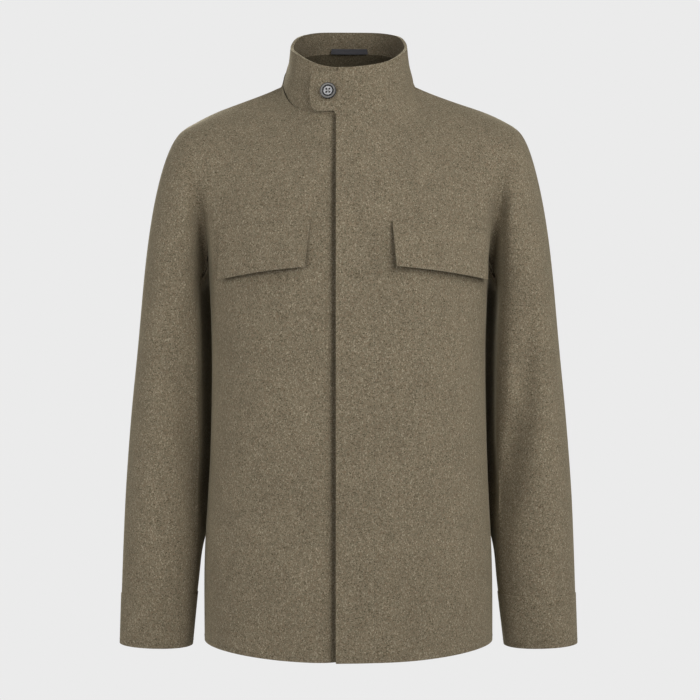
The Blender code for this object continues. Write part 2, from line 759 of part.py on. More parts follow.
def collar_panel():
    """Return the collar band with its tab as one grid, rows from the neck seam to the rim.

    The band's columns stand on the columns of the fronts, the placket and the back, so that the seam fits.
    """
    shares = np.linspace(0.0, 1.0, COLLAR_ROWS + 1)
    right_angles = np.linspace(neck_angle_at(UNDERLAP_X), -90.0, RIGHT_NECK_COLUMNS + 1)[1:]
    back_angles = np.linspace(-90.0, -270.0, 2 * BACK_NECK_COLUMNS + 1)[1:]
    left_angles = np.linspace(-270.0, neck_angle_at(PLACKET_SEAM_X) - 360.0, LEFT_NECK_COLUMNS + 1)[1:]
    columns = [[-collar_angle_at(COLLAR_RIGHT_END_X, t) for t in shares]]
    columns.extend([-angle] * len(shares) for angle in (*right_angles, *back_angles, *left_angles))
    for x in np.linspace(PLACKET_SEAM_X, PLACKET_EDGE_X, PLACKET_COLUMNS + 1)[1:-1]:
        columns.append([360.0 - collar_angle_at(x, t) for t in shares])
    columns.append([360.0 - collar_angle_at(COLLAR_LEFT_END_X, t) for t in shares])
    columns = [np.stack([collar_point(turn, t) for turn, t in zip(turns, shares)]) for turns in columns]
    for x, bottom in TAB_COLUMNS:
        columns.append(np.stack([tab_point(x, bottom + t * (TAB_TOP_Z - bottom)) for t in shares]))
    end_bottom = TAB_BOTTOM_Z + TAB_CORNER
    end_column = []
    for t in shares:
        bulge = TAB_END_BULGE * (1.0 - (2.0 * t - 1.0) ** 2)
        end_column.append(tab_point(TAB_END_X - bulge, end_bottom + t * (TAB_TOP_Z - end_bottom)))
    columns.append(np.stack(end_column))
    grid = np.stack(columns, axis=1)
    return Panel(grid, levelled(grid_normals(grid, away_from_axis)))


# Pieces laid on a panel
def point_on_column(panel, column, z):
    """Return the point and the normal of a panel on a fractional column at a height."""
    low = int(math.floor(column))
    high = min(low + 1, panel.points.shape[1] - 1)
    mix = column - low
    line = panel.points[:, low] * (1.0 - mix) + panel.points[:, high] * mix
    normals = panel.normals[:, low] * (1.0 - mix) + panel.normals[:, high] * mix
    point = np.array([np.interp(z, line[:, 2], line[:, axis]) for axis in range(3)])
    normal = unit([np.interp(z, line[:, 2], normals[:, axis]) for axis in range(3)])
    return point, normal


def column_at_x(panel, x, z):
    """Return the fractional column at which a panel reaches x at a height."""
    columns = np.linspace(0.0, panel.points.shape[1] - 1.0, 200)
    reached = [point_on_column(panel, column, z)[0][0] for column in columns]
    return float(np.interp(x, reached, columns))


def edge_height(edge, share):
    """Return an edge's height at a share of its length, through its inner, middle and outer heights."""
    return (
        edge.inner_z * (1.0 - share) * (1.0 - 2.0 * share)
        + edge.middle_z * 4.0 * share * (1.0 - share)
        + edge.outer_z * share * (2.0 * share - 1.0)
    )


def flap_columns(panel, top, bottom):
    """Return the ends of a flap in the panel's columns for every row, and the whole columns that it crosses."""
    ends = []
    for share in FLAP_ROW_SHARES:
        inner_x, inner_z, _middle_z, outer_x, outer_z = (
            upper + (lower - upper) * share for upper, lower in zip(top, bottom)
        )
        ends.append((column_at_x(panel, inner_x, inner_z), column_at_x(panel, outer_x, outer_z)))
    first = max(start for start, _end in ends)
    last = min(end for _start, end in ends)
    crossed = [column for column in range(panel.points.shape[1]) if first + 0.25 < column < last - 0.25]
    return ends, crossed


def flap_walls(panel, top, bottom):
    """Return the outer and inner points of a chest flap laid on a front panel."""
    ends, crossed = flap_columns(panel, top, bottom)
    outer_rows = []
    inner_rows = []
    for share, (first, last) in zip(FLAP_ROW_SHARES, ends):
        cloth = FLAP_SEAM_CLOTH + (FLAP_CLOTH - FLAP_SEAM_CLOTH) * float(ease(share / FLAP_FULL_CLOTH_SHARE))
        inner_x = top.inner_x + (bottom.inner_x - top.inner_x) * share
        outer_x = top.outer_x + (bottom.outer_x - top.outer_x) * share
        outer_row = []
        inner_row = []
        for column in (first, *crossed, last):
            along = (column - first) / (last - first)
            for _pass in range(3):
                z = edge_height(top, along) * (1.0 - share) + edge_height(bottom, along) * share
                point, normal = point_on_column(panel, column, z)
                along = (point[0] - inner_x) / (outer_x - inner_x)
            bare = FLAP_CLEARANCE + (FLAP_OUTER_CLEARANCE - FLAP_CLEARANCE) * along**2
            inner_lift = FLAP_INNER_LIFT * ease(1.0 - along / FLAP_INNER_LIFT_REACH) * share
            clearance = bare + FLAP_EDGE_LIFT * share**2 + inner_lift
            outer_row.append(point + normal * (clearance + cloth))
            inner_row.append(point + normal * clearance)
        outer_rows.append(np.stack(outer_row))
        inner_rows.append(np.stack(inner_row))
    return np.stack(outer_rows), np.stack(inner_rows)


# Building
def make_material(name, color, roughness):
    """Return a Principled material."""
    material = bpy.data.materials.new(name)
    material.use_nodes = True
    shader = material.node_tree.nodes["Principled BSDF"]
    shader.inputs["Base Color"].default_value = (*color, 1.0)
    shader.inputs["Roughness"].default_value = roughness
    shader.inputs["Metallic"].default_value = 0.0
    return material


def add_object(name, mesh, color, roughness=0.95):
    """Link a mesh as a node with a material of its own."""
    for polygon in mesh.polygons:
        polygon.use_smooth = True
    mesh.materials.append(make_material(name + "_material", color, roughness))
    node = bpy.data.objects.new(name, mesh)
    bpy.context.scene.collection.objects.link(node)
    return node


def wall_node(name, outer, inner, color, wraps=False):
    """Build a node from the outer and inner points of a cloth wall, closed by a strip along every border."""
    rows, columns = outer.shape[:2]
    shape = bmesh.new()
    grids = [[[shape.verts.new(point) for point in row] for row in grid] for grid in (outer, inner)]
    last = columns if wraps else columns - 1
    for grid in grids:
        for row in range(rows - 1):
            for column in range(last):
                beside = (column + 1) % columns
                shape.faces.new((grid[row][column], grid[row][beside], grid[row + 1][beside], grid[row + 1][column]))
    outside, inside = grids
    for row in (0, rows - 1):
        for column in range(last):
            beside = (column + 1) % columns
            shape.faces.new((outside[row][column], outside[row][beside], inside[row][beside], inside[row][column]))
    if not wraps:
        for column in (0, columns - 1):
            for row in range(rows - 1):
                shape.faces.new(
                    (outside[row][column], outside[row + 1][column], inside[row + 1][column], inside[row][column])
                )
    bmesh.ops.recalc_face_normals(shape, faces=shape.faces[:])
    mesh = bpy.data.meshes.new(name)
    shape.to_mesh(mesh)
    shape.free()
    return add_object(name, mesh, color)


def panel_node(name, panel, cloth, color, wraps=False, edges=(), side=1.0):
    """Build a node from a panel: its borders named in edges are pulled in, side -1 mirrors it to -X."""
    outer = panel.points
    for edge in edges:
        outer = pulled_in(outer, edge)
    inner = outer - panel.normals * cloth
    flip = np.array((side, 1.0, 1.0))
    return wall_node(name, outer * flip, inner * flip, color, wraps)


def build_body():
    """Build the two fronts and the back, and return the panels that the flaps lie on."""
    left, right, back = body_panels()
    panel_node("front_left", left, BODY_CLOTH, WOOL, edges=("first_column", "last_column", "last_row"))
    sink = underlap_sink(-right.points[..., 0])[..., None]
    sunk = Panel(right.points - levelled(right.normals) * sink, right.normals)
    panel_node("front_right", sunk, BODY_CLOTH, WOOL, edges=("last_column", "last_row"), side=-1.0)
    whole = Panel(
        np.concatenate((mirror(back.points)[:, :0:-1], back.points), axis=1),
        np.concatenate((mirror(back.normals)[:, :0:-1], back.normals), axis=1),
    )
    panel_node("back", whole, BODY_CLOTH, WOOL, edges=("first_column", "last_column", "last_row"))
    return left, right


def build_placket():
    """Build the strip that covers the front closure, raised at its free edge."""
    xs = np.linspace(PLACKET_EDGE_X, PLACKET_SEAM_X - SEAM_GAP / 2, PLACKET_COLUMNS + 1)
    grid = strip_grid(xs)
    normals = grid_normals(grid, away_from_axis)
    normals[:, -1] = facing_forward(normals[:, -1])
    share = (PLACKET_SEAM_X - grid[..., :1]) / (PLACKET_SEAM_X - PLACKET_EDGE_X)
    raised = Panel(grid + levelled(normals) * PLACKET_EDGE_LIFT * share, normals)
    panel_node("placket", raised, PLACKET_CLOTH, WOOL, edges=("last_row",))


def build_sleeves():
    """Build both sleeves and their cuffs."""
    sleeve = sleeve_panel()
    cuff = cuff_panel()
    for label, side in (("left", 1.0), ("right", -1.0)):
        panel_node("sleeve_" + label, sleeve, SLEEVE_CLOTH, WOOL, wraps=True, edges=("first_row",), side=side)
        panel_node("cuff_" + label, cuff, CUFF_CLOTH, WOOL, wraps=True, side=side)


def build_flaps(left, right):
    """Build the two chest flaps on the fronts."""
    outer, inner = flap_walls(left, LEFT_FLAP_TOP, LEFT_FLAP_BOTTOM)
    wall_node("flap_left", outer, inner, WOOL)
    outer, inner = flap_walls(right, RIGHT_FLAP_TOP, RIGHT_FLAP_BOTTOM)
    wall_node("flap_right", mirror(outer), mirror(inner), WOOL)


def build_neck_tape():
    """Build the small plain tape inside the back of the collar."""
    xs = np.linspace(TAPE_RIGHT_X, TAPE_LEFT_X, TAPE_COLUMNS)
    outer_rows = []
    inner_rows = []
    for z in (TAPE_BOTTOM_Z, TAPE_TOP_Z):
        outer_row = []
        inner_row = []
        for x in xs:
            turn = 180.0 + math.degrees(math.asin(signed_power(x / RIM_HALF_WIDTH, NECK_SQUARENESS / 2.0)))
            t = collar_share(turn, z)
            point = collar_point(turn, t)
            inward = -unit((point[0] / RIM_HALF_WIDTH**2, point[1] / RIM_BACK**2, 0.0))
            outer_row.append(point + inward * (COLLAR_CLOTH + TAPE_STAND_OFF + TAPE_CLOTH))
            inner_row.append(point + inward * (COLLAR_CLOTH + TAPE_STAND_OFF))
        outer_rows.append(np.stack(outer_row))
        inner_rows.append(np.stack(inner_row))
    wall_node("neck_tape", np.stack(outer_rows), np.stack(inner_rows), TAPE_NAVY)


def build_button():
    """Build the round four-hole button on the tab, turned to lie flat on the collar."""
    radius = BUTTON_DIAMETER / 2
    thick = BUTTON_THICKNESS
    profile = (
        (0.0, 0.0),
        (radius * 0.80, 0.0),
        (radius, thick * 0.40),
        (radius, thick * 0.70),
        (radius * 0.93, thick),
        (radius * 0.84, thick),
        (radius * 0.74, thick * 0.66),
        (radius * 0.66, thick * 0.80),
        (0.0, thick * 0.80),
    )
    shape = bmesh.new()
    line = [shape.verts.new((distance, 0.0, height)) for distance, height in profile]
    edges = [shape.edges.new(pair) for pair in zip(line, line[1:])]
    bmesh.ops.spin(
        shape, geom=line + edges, cent=(0, 0, 0), axis=(0, 0, 1), angle=math.tau, steps=24, use_duplicate=False
    )
    bmesh.ops.remove_doubles(shape, verts=shape.verts[:], dist=0.00002)
    bmesh.ops.recalc_face_normals(shape, faces=shape.faces[:])
    mesh = bpy.data.meshes.new("button")
    shape.to_mesh(mesh)
    shape.free()
    button = add_object("button", mesh, BUTTON_GREY, 0.35)

    centre = tab_point(BUTTON_X, BUTTON_Z)
    across = tab_point(BUTTON_X + 0.006, BUTTON_Z) - tab_point(BUTTON_X - 0.006, BUTTON_Z)
    up = tab_point(BUTTON_X, BUTTON_Z + 0.006) - tab_point(BUTTON_X, BUTTON_Z - 0.006)
    outward = unit(np.cross(across, up))
    side = unit(across)
    turned = Matrix((side, np.cross(outward, side), outward)).transposed().to_4x4()
    place = Matrix.Translation(Vector(centre + outward * BUTTON_STAND_OFF)) @ turned
    for index in range(4):
        angle = math.radians(45.0 + 90.0 * index)
        cutter_shape = bmesh.new()
        bmesh.ops.create_cone(
            cutter_shape,
            cap_ends=True,
            segments=10,
            radius1=BUTTON_HOLE_DIAMETER / 2,
            radius2=BUTTON_HOLE_DIAMETER / 2,
            depth=thick * 4,
        )
        offset = Vector((math.cos(angle), math.sin(angle), 0.0)) * BUTTON_HOLE_SPREAD
        bmesh.ops.translate(cutter_shape, verts=cutter_shape.verts[:], vec=offset)
        cutter_mesh = bpy.data.meshes.new("button_hole_cutter")
        cutter_shape.to_mesh(cutter_mesh)
        cutter_shape.free()
        cutter = bpy.data.objects.new(f"button_hole_cutter_{index}", cutter_mesh)
        bpy.context.scene.collection.objects.link(cutter)
        cutter.hide_render = True
        cutter.display_type = "WIRE"
        cutter.matrix_world = place
        cut = button.modifiers.new(f"hole_{index}", "BOOLEAN")
        cut.operation = "DIFFERENCE"
        cut.object = cutter
    button.matrix_world = place


def clear_scene():
    """Remove every object that the file opened with."""
    for existing in list(bpy.data.objects):
        bpy.data.objects.remove(existing, do_unlink=True)


def build_overshirt():
    """Build every piece of the garment."""
    clear_scene()
    left, right = build_body()
    build_placket()
    build_sleeves()
    build_flaps(left, right)
    panel_node("collar", collar_panel(), COLLAR_CLOTH, WOOL)
    build_neck_tape()
    build_button()


build_overshirt()
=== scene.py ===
"""Looks for a stand-collar overshirt in brushed, heathered wool, filled out with nobody in it.

Every cloth piece starts as a copy of its CAD solid, which it replaces. The copy is merged, smoothed
by subdivision, given a rounded edge, and pressed where seams and folds draw the cloth in. Stitches,
the button and its thread are modelled on top. All sizes are in metres, in the frame of the CAD: +X
is the wearer's left, the front faces -Y, +Z is up.
"""
from __future__ import annotations

import logging
import math
from dataclasses import dataclass, field, replace
from enum import Enum
from functools import cache

import bmesh
import bpy
import numpy as np
from mathutils import Matrix, Vector, noise
from mathutils.bvhtree import BVHTree
from mathutils.kdtree import KDTree


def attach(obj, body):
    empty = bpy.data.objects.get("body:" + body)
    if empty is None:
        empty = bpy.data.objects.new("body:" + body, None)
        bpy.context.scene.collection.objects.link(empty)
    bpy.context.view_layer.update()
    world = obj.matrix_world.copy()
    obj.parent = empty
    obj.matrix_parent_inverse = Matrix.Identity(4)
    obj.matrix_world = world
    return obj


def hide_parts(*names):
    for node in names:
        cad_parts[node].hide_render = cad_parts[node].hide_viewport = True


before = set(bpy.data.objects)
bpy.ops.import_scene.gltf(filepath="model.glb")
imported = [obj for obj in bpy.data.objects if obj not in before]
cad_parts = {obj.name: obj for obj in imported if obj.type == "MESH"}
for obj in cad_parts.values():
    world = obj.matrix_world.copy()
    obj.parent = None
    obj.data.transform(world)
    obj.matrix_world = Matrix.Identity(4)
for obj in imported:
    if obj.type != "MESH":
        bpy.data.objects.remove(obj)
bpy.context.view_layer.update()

LOG = logging.getLogger("overshirt")
BODY_NAME = "root"
TINY = 1e-6
ORIGIN = (0.0, 0.0, 0.0)
ALONG_X = (0.0, math.pi / 2.0, 0.0)

Color = tuple[float, float, float]
Point = tuple[float, float, float]
Inputs = dict[str | int, float | tuple[float, ...] | bpy.types.NodeSocket]


class Slot(Enum):
    """Material slots."""

    WOOL = "wool"
    TAPE = "navy_tape"
    RESIN = "button_resin"


class Axis(Enum):
    """What a cloth piece bulges away from."""

    TRUNK = "trunk"
    LEFT_SLEEVE = "left sleeve"
    RIGHT_SLEEVE = "right sleeve"


# Shader nodes
def blank_finish(name: str) -> tuple[bpy.types.Material, bpy.types.NodeTree, bpy.types.Node]:
    """Add a node material.

    Args:
        name: Its name.

    Returns:
        The material, its tree and its Principled shader.
    """
    material = bpy.data.materials.new(name)
    material.use_nodes = True
    return material, material.node_tree, material.node_tree.nodes["Principled BSDF"]


def feed(tree: bpy.types.NodeTree, node: bpy.types.Node, inputs: Inputs) -> bpy.types.Node:
    """Give a node's inputs a value each, or link another node's socket to them.

    Args:
        tree: The tree that holds the node.
        node: The node.
        inputs: A value or a socket for each input, by its name or its place.

    Returns:
        The node.
    """
    for name, value in inputs.items():
        if isinstance(value, bpy.types.NodeSocket):
            tree.links.new(value, node.inputs[name])
        else:
            node.inputs[name].default_value = value
    return node


def add_node(tree: bpy.types.NodeTree, kind: str, inputs: Inputs) -> bpy.types.Node:
    """Add a node of a kind, with its inputs as feed takes them."""
    return feed(tree, tree.nodes.new(kind), inputs)


def object_place(tree: bpy.types.NodeTree) -> bpy.types.NodeSocket:
    """Add the coordinates of the piece itself and return their socket."""
    return tree.nodes.new("ShaderNodeTexCoord").outputs["Object"]


def scaled(color: Color, factor: float) -> Color:
    """Return a colour made darker or lighter by a factor."""
    return tuple(min(channel * factor, 1.0) for channel in color)


def two_colors(
    tree: bpy.types.NodeTree, share: bpy.types.NodeSocket, stops: tuple[tuple[float, Color], ...]
) -> bpy.types.NodeSocket:
    """Turn a value from 0 to 1 into a colour.

    Args:
        tree: The node tree.
        share: The value.
        stops: Place and colour of both ends, in rising order.

    Returns:
        The colour's socket.
    """
    ramp = add_node(tree, "ShaderNodeValToRGB", {"Fac": share})
    for element, (position, color) in zip(ramp.color_ramp.elements, stops):
        element.position = position
        element.color = (*color, 1.0)
    return ramp.outputs["Color"]


# Finishes
@dataclass(frozen=True)
class WoolFinish:
    """Brushed melange wool: fibres of four colours, a nap and a soft sheen."""

    name: str
    ground: Color = (0.176, 0.150, 0.100)
    pale: Color = (0.375, 0.325, 0.234)
    dark: Color = (0.062, 0.050, 0.027)
    rust: Color = (0.202, 0.150, 0.098)
    sheen: float = 0.62
    sheen_tint: Color = (0.86, 0.77, 0.55)
    sheen_roughness: float = 0.38
    roughness: float = 0.92
    specular: float = 0.12
    fibre_scale: float = 900.0
    nap_height: float = 0.00035
    nap_strength: float = 0.55

    def build(self) -> bpy.types.Material:
        """Return the finish as a material.

        Returns:
            The material, with its pattern on Object coordinates.
        """
        material, tree, shader = blank_finish(self.name)
        heather = tree.nodes.new("ShaderNodeGroup")
        heather.node_tree = heather_group()
        colors = {"Ground": self.ground, "Pale": self.pale, "Dark": self.dark, "Rust": self.rust}
        feed(tree, heather, {socket: (*color, 1.0) for socket, color in colors.items()})
        feed(tree, heather, {"Vector": object_place(tree), "Fibre Scale": self.fibre_scale})
        bump = add_node(tree, "ShaderNodeBump", {
            "Strength": self.nap_strength, "Distance": self.nap_height,
            "Height": heather.outputs["Nap"],
        })
        feed(tree, shader, {
            "Base Color": heather.outputs["Color"],
            "Normal": bump.outputs["Normal"],
            "Roughness": self.roughness,
            "Specular IOR Level": self.specular,
            "Sheen Weight": self.sheen,
            "Sheen Roughness": self.sheen_roughness,
            "Sheen Tint": (*self.sheen_tint, 1.0),
        })
        return material


@dataclass(frozen=True)
class ThreadFinish:
    """Twisted sewing thread."""

    name: str
    color: Color
    twist_scale: float = 1500.0
    roughness: float = 0.7
    sheen: float = 0.1

    def build(self) -> bpy.types.Material:
        """Return the finish as a material.

        Returns:
            The material.
        """
        material, tree, shader = blank_finish(self.name)
        grain = add_node(
            tree, "ShaderNodeTexNoise", {"Scale": self.twist_scale, "Vector": object_place(tree)}
        )
        stops = ((0.35, scaled(self.color, 0.72)), (0.65, scaled(self.color, 1.25)))
        feed(tree, shader, {
            "Base Color": two_colors(tree, grain.outputs["Fac"], stops),
            "Roughness": self.roughness,
            "Sheen Weight": self.sheen,
        })
        return material


@dataclass(frozen=True)
class TapeFinish:
    """Narrow ribbed woven tape."""

    name: str
    color: Color = (0.012, 0.011, 0.015)
    rib_scale: float = 300.0
    rib_height: float = 0.0002
    rib_strength: float = 0.4
    wobble: float = 0.6
    roughness: float = 0.6
    sheen: float = 0.15

    def build(self) -> bpy.types.Material:
        """Return the finish as a material.

        Returns:
            The material.
        """
        material, tree, shader = blank_finish(self.name)
        ribs = add_node(tree, "ShaderNodeTexWave", {
            "Scale": self.rib_scale, "Distortion": self.wobble, "Vector": object_place(tree),
        })
        ribs.bands_direction = "X"
        bump = add_node(tree, "ShaderNodeBump", {
            "Strength": self.rib_strength, "Distance": self.rib_height,
            "Height": ribs.outputs["Fac"],
        })
        stops = ((0.2, scaled(self.color, 0.8)), (0.8, scaled(self.color, 1.5)))
        feed(tree, shader, {
            "Base Color": two_colors(tree, ribs.outputs["Fac"], stops),
            "Normal": bump.outputs["Normal"],
            "Roughness": self.roughness,
            "Sheen Weight": self.sheen,
        })
        return material


@dataclass(frozen=True)
class ResinFinish:
    """Cast button resin with faint clouds and a satin polish."""

    name: str
    pale: Color
    deep: Color
    roughness: float = 0.34
    specular: float = 0.5
    cloud_scale: float = 160.0
    cloud_detail: float = 4.0
    cloud_swirl: float = 1.2

    def build(self) -> bpy.types.Material:
        """Return the finish as a material.

        Returns:
            The material.
        """
        material, tree, shader = blank_finish(self.name)
        clouds = add_node(tree, "ShaderNodeTexNoise", {
            "Scale": self.cloud_scale, "Detail": self.cloud_detail,
            "Distortion": self.cloud_swirl, "Vector": object_place(tree),
        })
        stops = ((0.35, self.deep), (0.62, self.pale))
        feed(tree, shader, {
            "Base Color": two_colors(tree, clouds.outputs["Fac"], stops),
            "Roughness": self.roughness,
            "Specular IOR Level": self.specular,
        })
        return material


def heather_group() -> bpy.types.NodeTree:
    """Return the shared node group that mixes wool fibres of four colours.

    Returns:
        The group, with outputs Color and Nap, the height of the brushed surface.
    """
    name = "heathered_wool"
    if name in bpy.data.node_groups:
        return bpy.data.node_groups[name]
    group = bpy.data.node_groups.new(name, "ShaderNodeTree")
    for socket, in_out, kind in (
        ("Vector", "INPUT", "Vector"), ("Ground", "INPUT", "Color"), ("Pale", "INPUT", "Color"),
        ("Dark", "INPUT", "Color"), ("Rust", "INPUT", "Color"), ("Fibre Scale", "INPUT", "Float"),
        ("Color", "OUTPUT", "Color"), ("Nap", "OUTPUT", "Float"),
    ):
        group.interface.new_socket(socket, in_out=in_out, socket_type=f"NodeSocket{kind}")
    source = group.nodes.new("NodeGroupInput").outputs

    def strands(
        turn: Point, stretch: Point, scale_factor: float, detail: float
    ) -> bpy.types.NodeSocket:
        """Add a noise drawn out into short fibres that lie in one direction.

        Args:
            turn: How the fibres are turned.
            stretch: How dense they are in each direction.
            scale_factor: Their share of the group's fibre scale.
            detail: How many finer layers they have.

        Returns:
            The noise's value.
        """
        mapping = add_node(group, "ShaderNodeMapping", {
            "Vector": source["Vector"], "Rotation": turn, "Scale": stretch,
        })
        size = group.nodes.new("ShaderNodeMath")
        size.operation = "MULTIPLY"
        feed(group, size, {0: source["Fibre Scale"], 1: scale_factor})
        texture = add_node(group, "ShaderNodeTexNoise", {
            "Vector": mapping.outputs["Vector"], "Scale": size.outputs["Value"],
            "Detail": detail, "Roughness": 0.62, "Distortion": 0.8,
        })
        return texture.outputs["Fac"]

    def blend(
        factor: bpy.types.NodeSocket, low: float, high: float, first: bpy.types.NodeSocket,
        second: bpy.types.NodeSocket,
    ) -> bpy.types.NodeSocket:
        """Turn one colour into another where a factor rises.

        Args:
            factor: The factor.
            low: Where the first colour ends.
            high: Where the second colour is full.
            first: The colour at a low factor.
            second: The colour at a high factor.

        Returns:
            The mixed colour.
        """
        span = add_node(
            group, "ShaderNodeMapRange", {"Value": factor, "From Min": low, "From Max": high}
        )
        mix = group.nodes.new("ShaderNodeMix")
        mix.data_type = "RGBA"
        feed(group, mix, {"Factor": span.outputs["Result"], "A": first, "B": second})
        return mix.outputs["Result"]

    steep = strands((0.0, 0.5, 0.0), (1.0, 1.0, 0.45), 1.0, 3.0)
    shallow = strands((0.0, -0.7, 0.3), (0.5, 0.8, 1.0), 1.15, 3.0)
    knots = strands((0.3, 0.2, 0.0), (1.0, 1.0, 1.0), 0.45, 2.0)
    clouds = strands((0.0, 0.0, 0.0), (1.0, 1.0, 0.7), 0.035, 3.0)
    color = blend(knots, 0.40, 0.68, source["Ground"], source["Rust"])
    color = blend(steep, 0.49, 0.66, color, source["Pale"])
    color = blend(shallow, 0.50, 0.66, color, source["Dark"])
    shade = add_node(group, "ShaderNodeMapRange", {
        "Value": clouds, "From Min": 0.3, "From Max": 0.7, "To Min": 0.92, "To Max": 1.08,
    })
    tint = group.nodes.new("ShaderNodeVectorMath")
    tint.operation = "SCALE"
    feed(group, tint, {0: color, "Scale": shade.outputs["Result"]})
    height = group.nodes.new("ShaderNodeMath")
    height.operation = "SUBTRACT"
    feed(group, height, {0: steep, 1: shallow})
    add_node(
        group, "NodeGroupOutput", {"Color": tint.outputs["Vector"], "Nap": height.outputs["Value"]}
    )
    return group


Finish = WoolFinish | ThreadFinish | TapeFinish | ResinFinish
WOOL = WoolFinish("wool_heather")
# painted shade: a darker, less sheeny wool for the collar's inward faces, standing for the shade
# inside the collar
WOOL_COLLAR_INSIDE_SHADE = WoolFinish(
    "wool_collar_inside_painted_shade", ground=(0.132, 0.111, 0.073), pale=(0.250, 0.216, 0.156),
    dark=(0.058, 0.046, 0.026), rust=(0.150, 0.112, 0.073), sheen=0.15,
)
# painted shade: a much darker wool for the inward faces of the body, sleeves, cuffs and flaps,
# standing for the shade deep inside the garment
WOOL_INSIDE_SHADE = WoolFinish(
    "wool_inside_painted_shade", ground=(0.052, 0.043, 0.026), pale=(0.098, 0.085, 0.056),
    dark=(0.024, 0.019, 0.010), rust=(0.060, 0.044, 0.027), sheen=0.06,
)
# partly painted shade: olive thread made darker than its own colour, standing for the shade of the
# groove that the stitches press into the cloth
SEWING_THREAD_GROOVE_SHADE = ThreadFinish("thread_olive_groove_shade", (0.036, 0.029, 0.018))
BUTTON_THREAD = ThreadFinish("thread_grey", (0.330, 0.328, 0.330))
NECK_TAPE = TapeFinish("tape_navy")
BUTTON_PALE = ResinFinish("resin_pale", (0.43, 0.43, 0.435), (0.35, 0.35, 0.355))
BUTTON_RIM = ResinFinish(
    "resin_rim", (0.190, 0.184, 0.172), (0.130, 0.126, 0.117), roughness=0.45
)
# painted shade: this dark resin stands for the shade in the button's groove and the contact shadow
# at its side
BUTTON_SHADE = ResinFinish("resin_groove_painted_shade", (0.030, 0.030, 0.034), (0.018, 0.018, 0.022))


@cache
def material_of(finish: Finish) -> bpy.types.Material:
    """Return the one material of a finish, built when it is first asked for."""
    return finish.build()


# Shared modelling steps
def deselect_all() -> None:
    """Leave edit mode and deselect every object."""
    if bpy.context.object is not None and bpy.context.object.mode != "OBJECT":
        bpy.ops.object.mode_set(mode="OBJECT")
    bpy.ops.object.select_all(action="DESELECT")


def make_active(piece: bpy.types.Object) -> None:
    """Select one object alone and make it the active one.

    Args:
        piece: The object.
    """
    deselect_all()
    piece.select_set(True)
    bpy.context.view_layer.objects.active = piece


def apply_modifiers(piece: bpy.types.Object) -> None:
    """Apply a piece's modifiers in their order.

    Args:
        piece: The piece.
    """
    make_active(piece)
    for modifier in list(piece.modifiers):
        bpy.ops.object.modifier_apply(modifier=modifier.name)


def add_cylinder(
    sides: int, radius: float, depth: float, place: Point = ORIGIN, turn: Point = ORIGIN
) -> bpy.types.Object:
    """Add a cylinder alone, with its place and turn in its mesh.

    Args:
        sides: How many sides stand for its round.
        radius: Its radius.
        depth: Its length.
        place: Its middle.
        turn: How it is turned from standing along Z.

    Returns:
        The cylinder, the active object.
    """
    deselect_all()
    bpy.ops.mesh.primitive_cylinder_add(
        vertices=sides, radius=radius, depth=depth, location=place, rotation=turn
    )
    bpy.ops.object.transform_apply(location=True, rotation=True)
    return bpy.context.object


def dress_piece(
    piece: bpy.types.Object, finish: Finish, smooth_angle: float = math.pi
) -> None:
    """Shade a finished piece, give it its finish and let it ride on the body.

    Args:
        piece: The piece.
        finish: Its finish.
        smooth_angle: Up to which angle its edges look smooth.
    """
    make_active(piece)
    bpy.ops.object.shade_smooth_by_angle(angle=smooth_angle)
    piece.data.materials.clear()
    piece.data.materials.append(material_of(finish))
    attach(piece, BODY_NAME)
    LOG.info("%s: %d faces", piece.name, len(piece.data.polygons))


def cut_across(place: Point, direction: Point) -> None:
    """Cut the whole mesh that is in edit mode by a plane, and leave all of it selected."""
    bpy.ops.mesh.select_all(action="SELECT")
    bpy.ops.mesh.bisect(plane_co=place, plane_no=direction)


def vertex_places(piece: bpy.types.Object) -> np.ndarray:
    """Return where a piece's vertices are.

    Args:
        piece: The piece.

    Returns:
        Rows of x, y and z.
    """
    places = np.empty(len(piece.data.vertices) * 3)
    piece.data.vertices.foreach_get("co", places)
    return places.reshape(-1, 3)


def set_vertex_places(piece: bpy.types.Object, places: np.ndarray) -> None:
    """Move a piece's vertices to rows of x, y and z."""
    piece.data.vertices.foreach_set("co", places.reshape(-1))
    piece.data.update()


def smooth_step(value: np.ndarray) -> np.ndarray:
    """Return a soft step from 0 to 1 for values that run from 0 to 1."""
    value = np.clip(value, 0.0, 1.0)
    return value * value * (3.0 - 2.0 * value)


def sleeve_axis_x(z: np.ndarray) -> np.ndarray:
    """Return how far the middle of the left sleeve stands out at a height."""
    reaches = (0.2432, 0.2330, 0.2250, 0.2192, 0.190)
    return np.interp(z, (-0.706, -0.524, -0.400, -0.270, -0.052), reaches)


def outward(places: np.ndarray, axis: Axis) -> np.ndarray:
    """Return the level direction that leads away from the middle of a tube.

    Args:
        places: Points, one a row.
        axis: The tube that the points belong to.

    Returns:
        Unit vectors, one a row.
    """
    middle = np.zeros_like(places)
    middle[:, 2] = places[:, 2]
    if axis is not Axis.TRUNK:
        side = 1.0 if axis is Axis.LEFT_SLEEVE else -1.0
        middle[:, 0] = side * sleeve_axis_x(places[:, 2])
    away = places - middle
    return away / np.maximum(np.linalg.norm(away, axis=1, keepdims=True), TINY)


TRUNK_CLOTHS = ("front_left", "front_right", "placket", "back")
TRUNK_ONLY = frozenset({Axis.TRUNK})
SLEEVES_ONLY = frozenset({Axis.LEFT_SLEEVE, Axis.RIGHT_SLEEVE})
EVERYTHING = TRUNK_ONLY | SLEEVES_ONLY


@dataclass(frozen=True)
class Fold:
    """Something that moves the cloth softly, on the tubes that it names."""

    axes: frozenset[Axis] = field(default=EVERYTHING, kw_only=True)

    def shift(self, places: np.ndarray) -> np.ndarray:
        """Return how far the fold moves each place.

        Args:
            places: Points, one a row.

        Returns:
            A shift for each point.
        """
        raise NotImplementedError


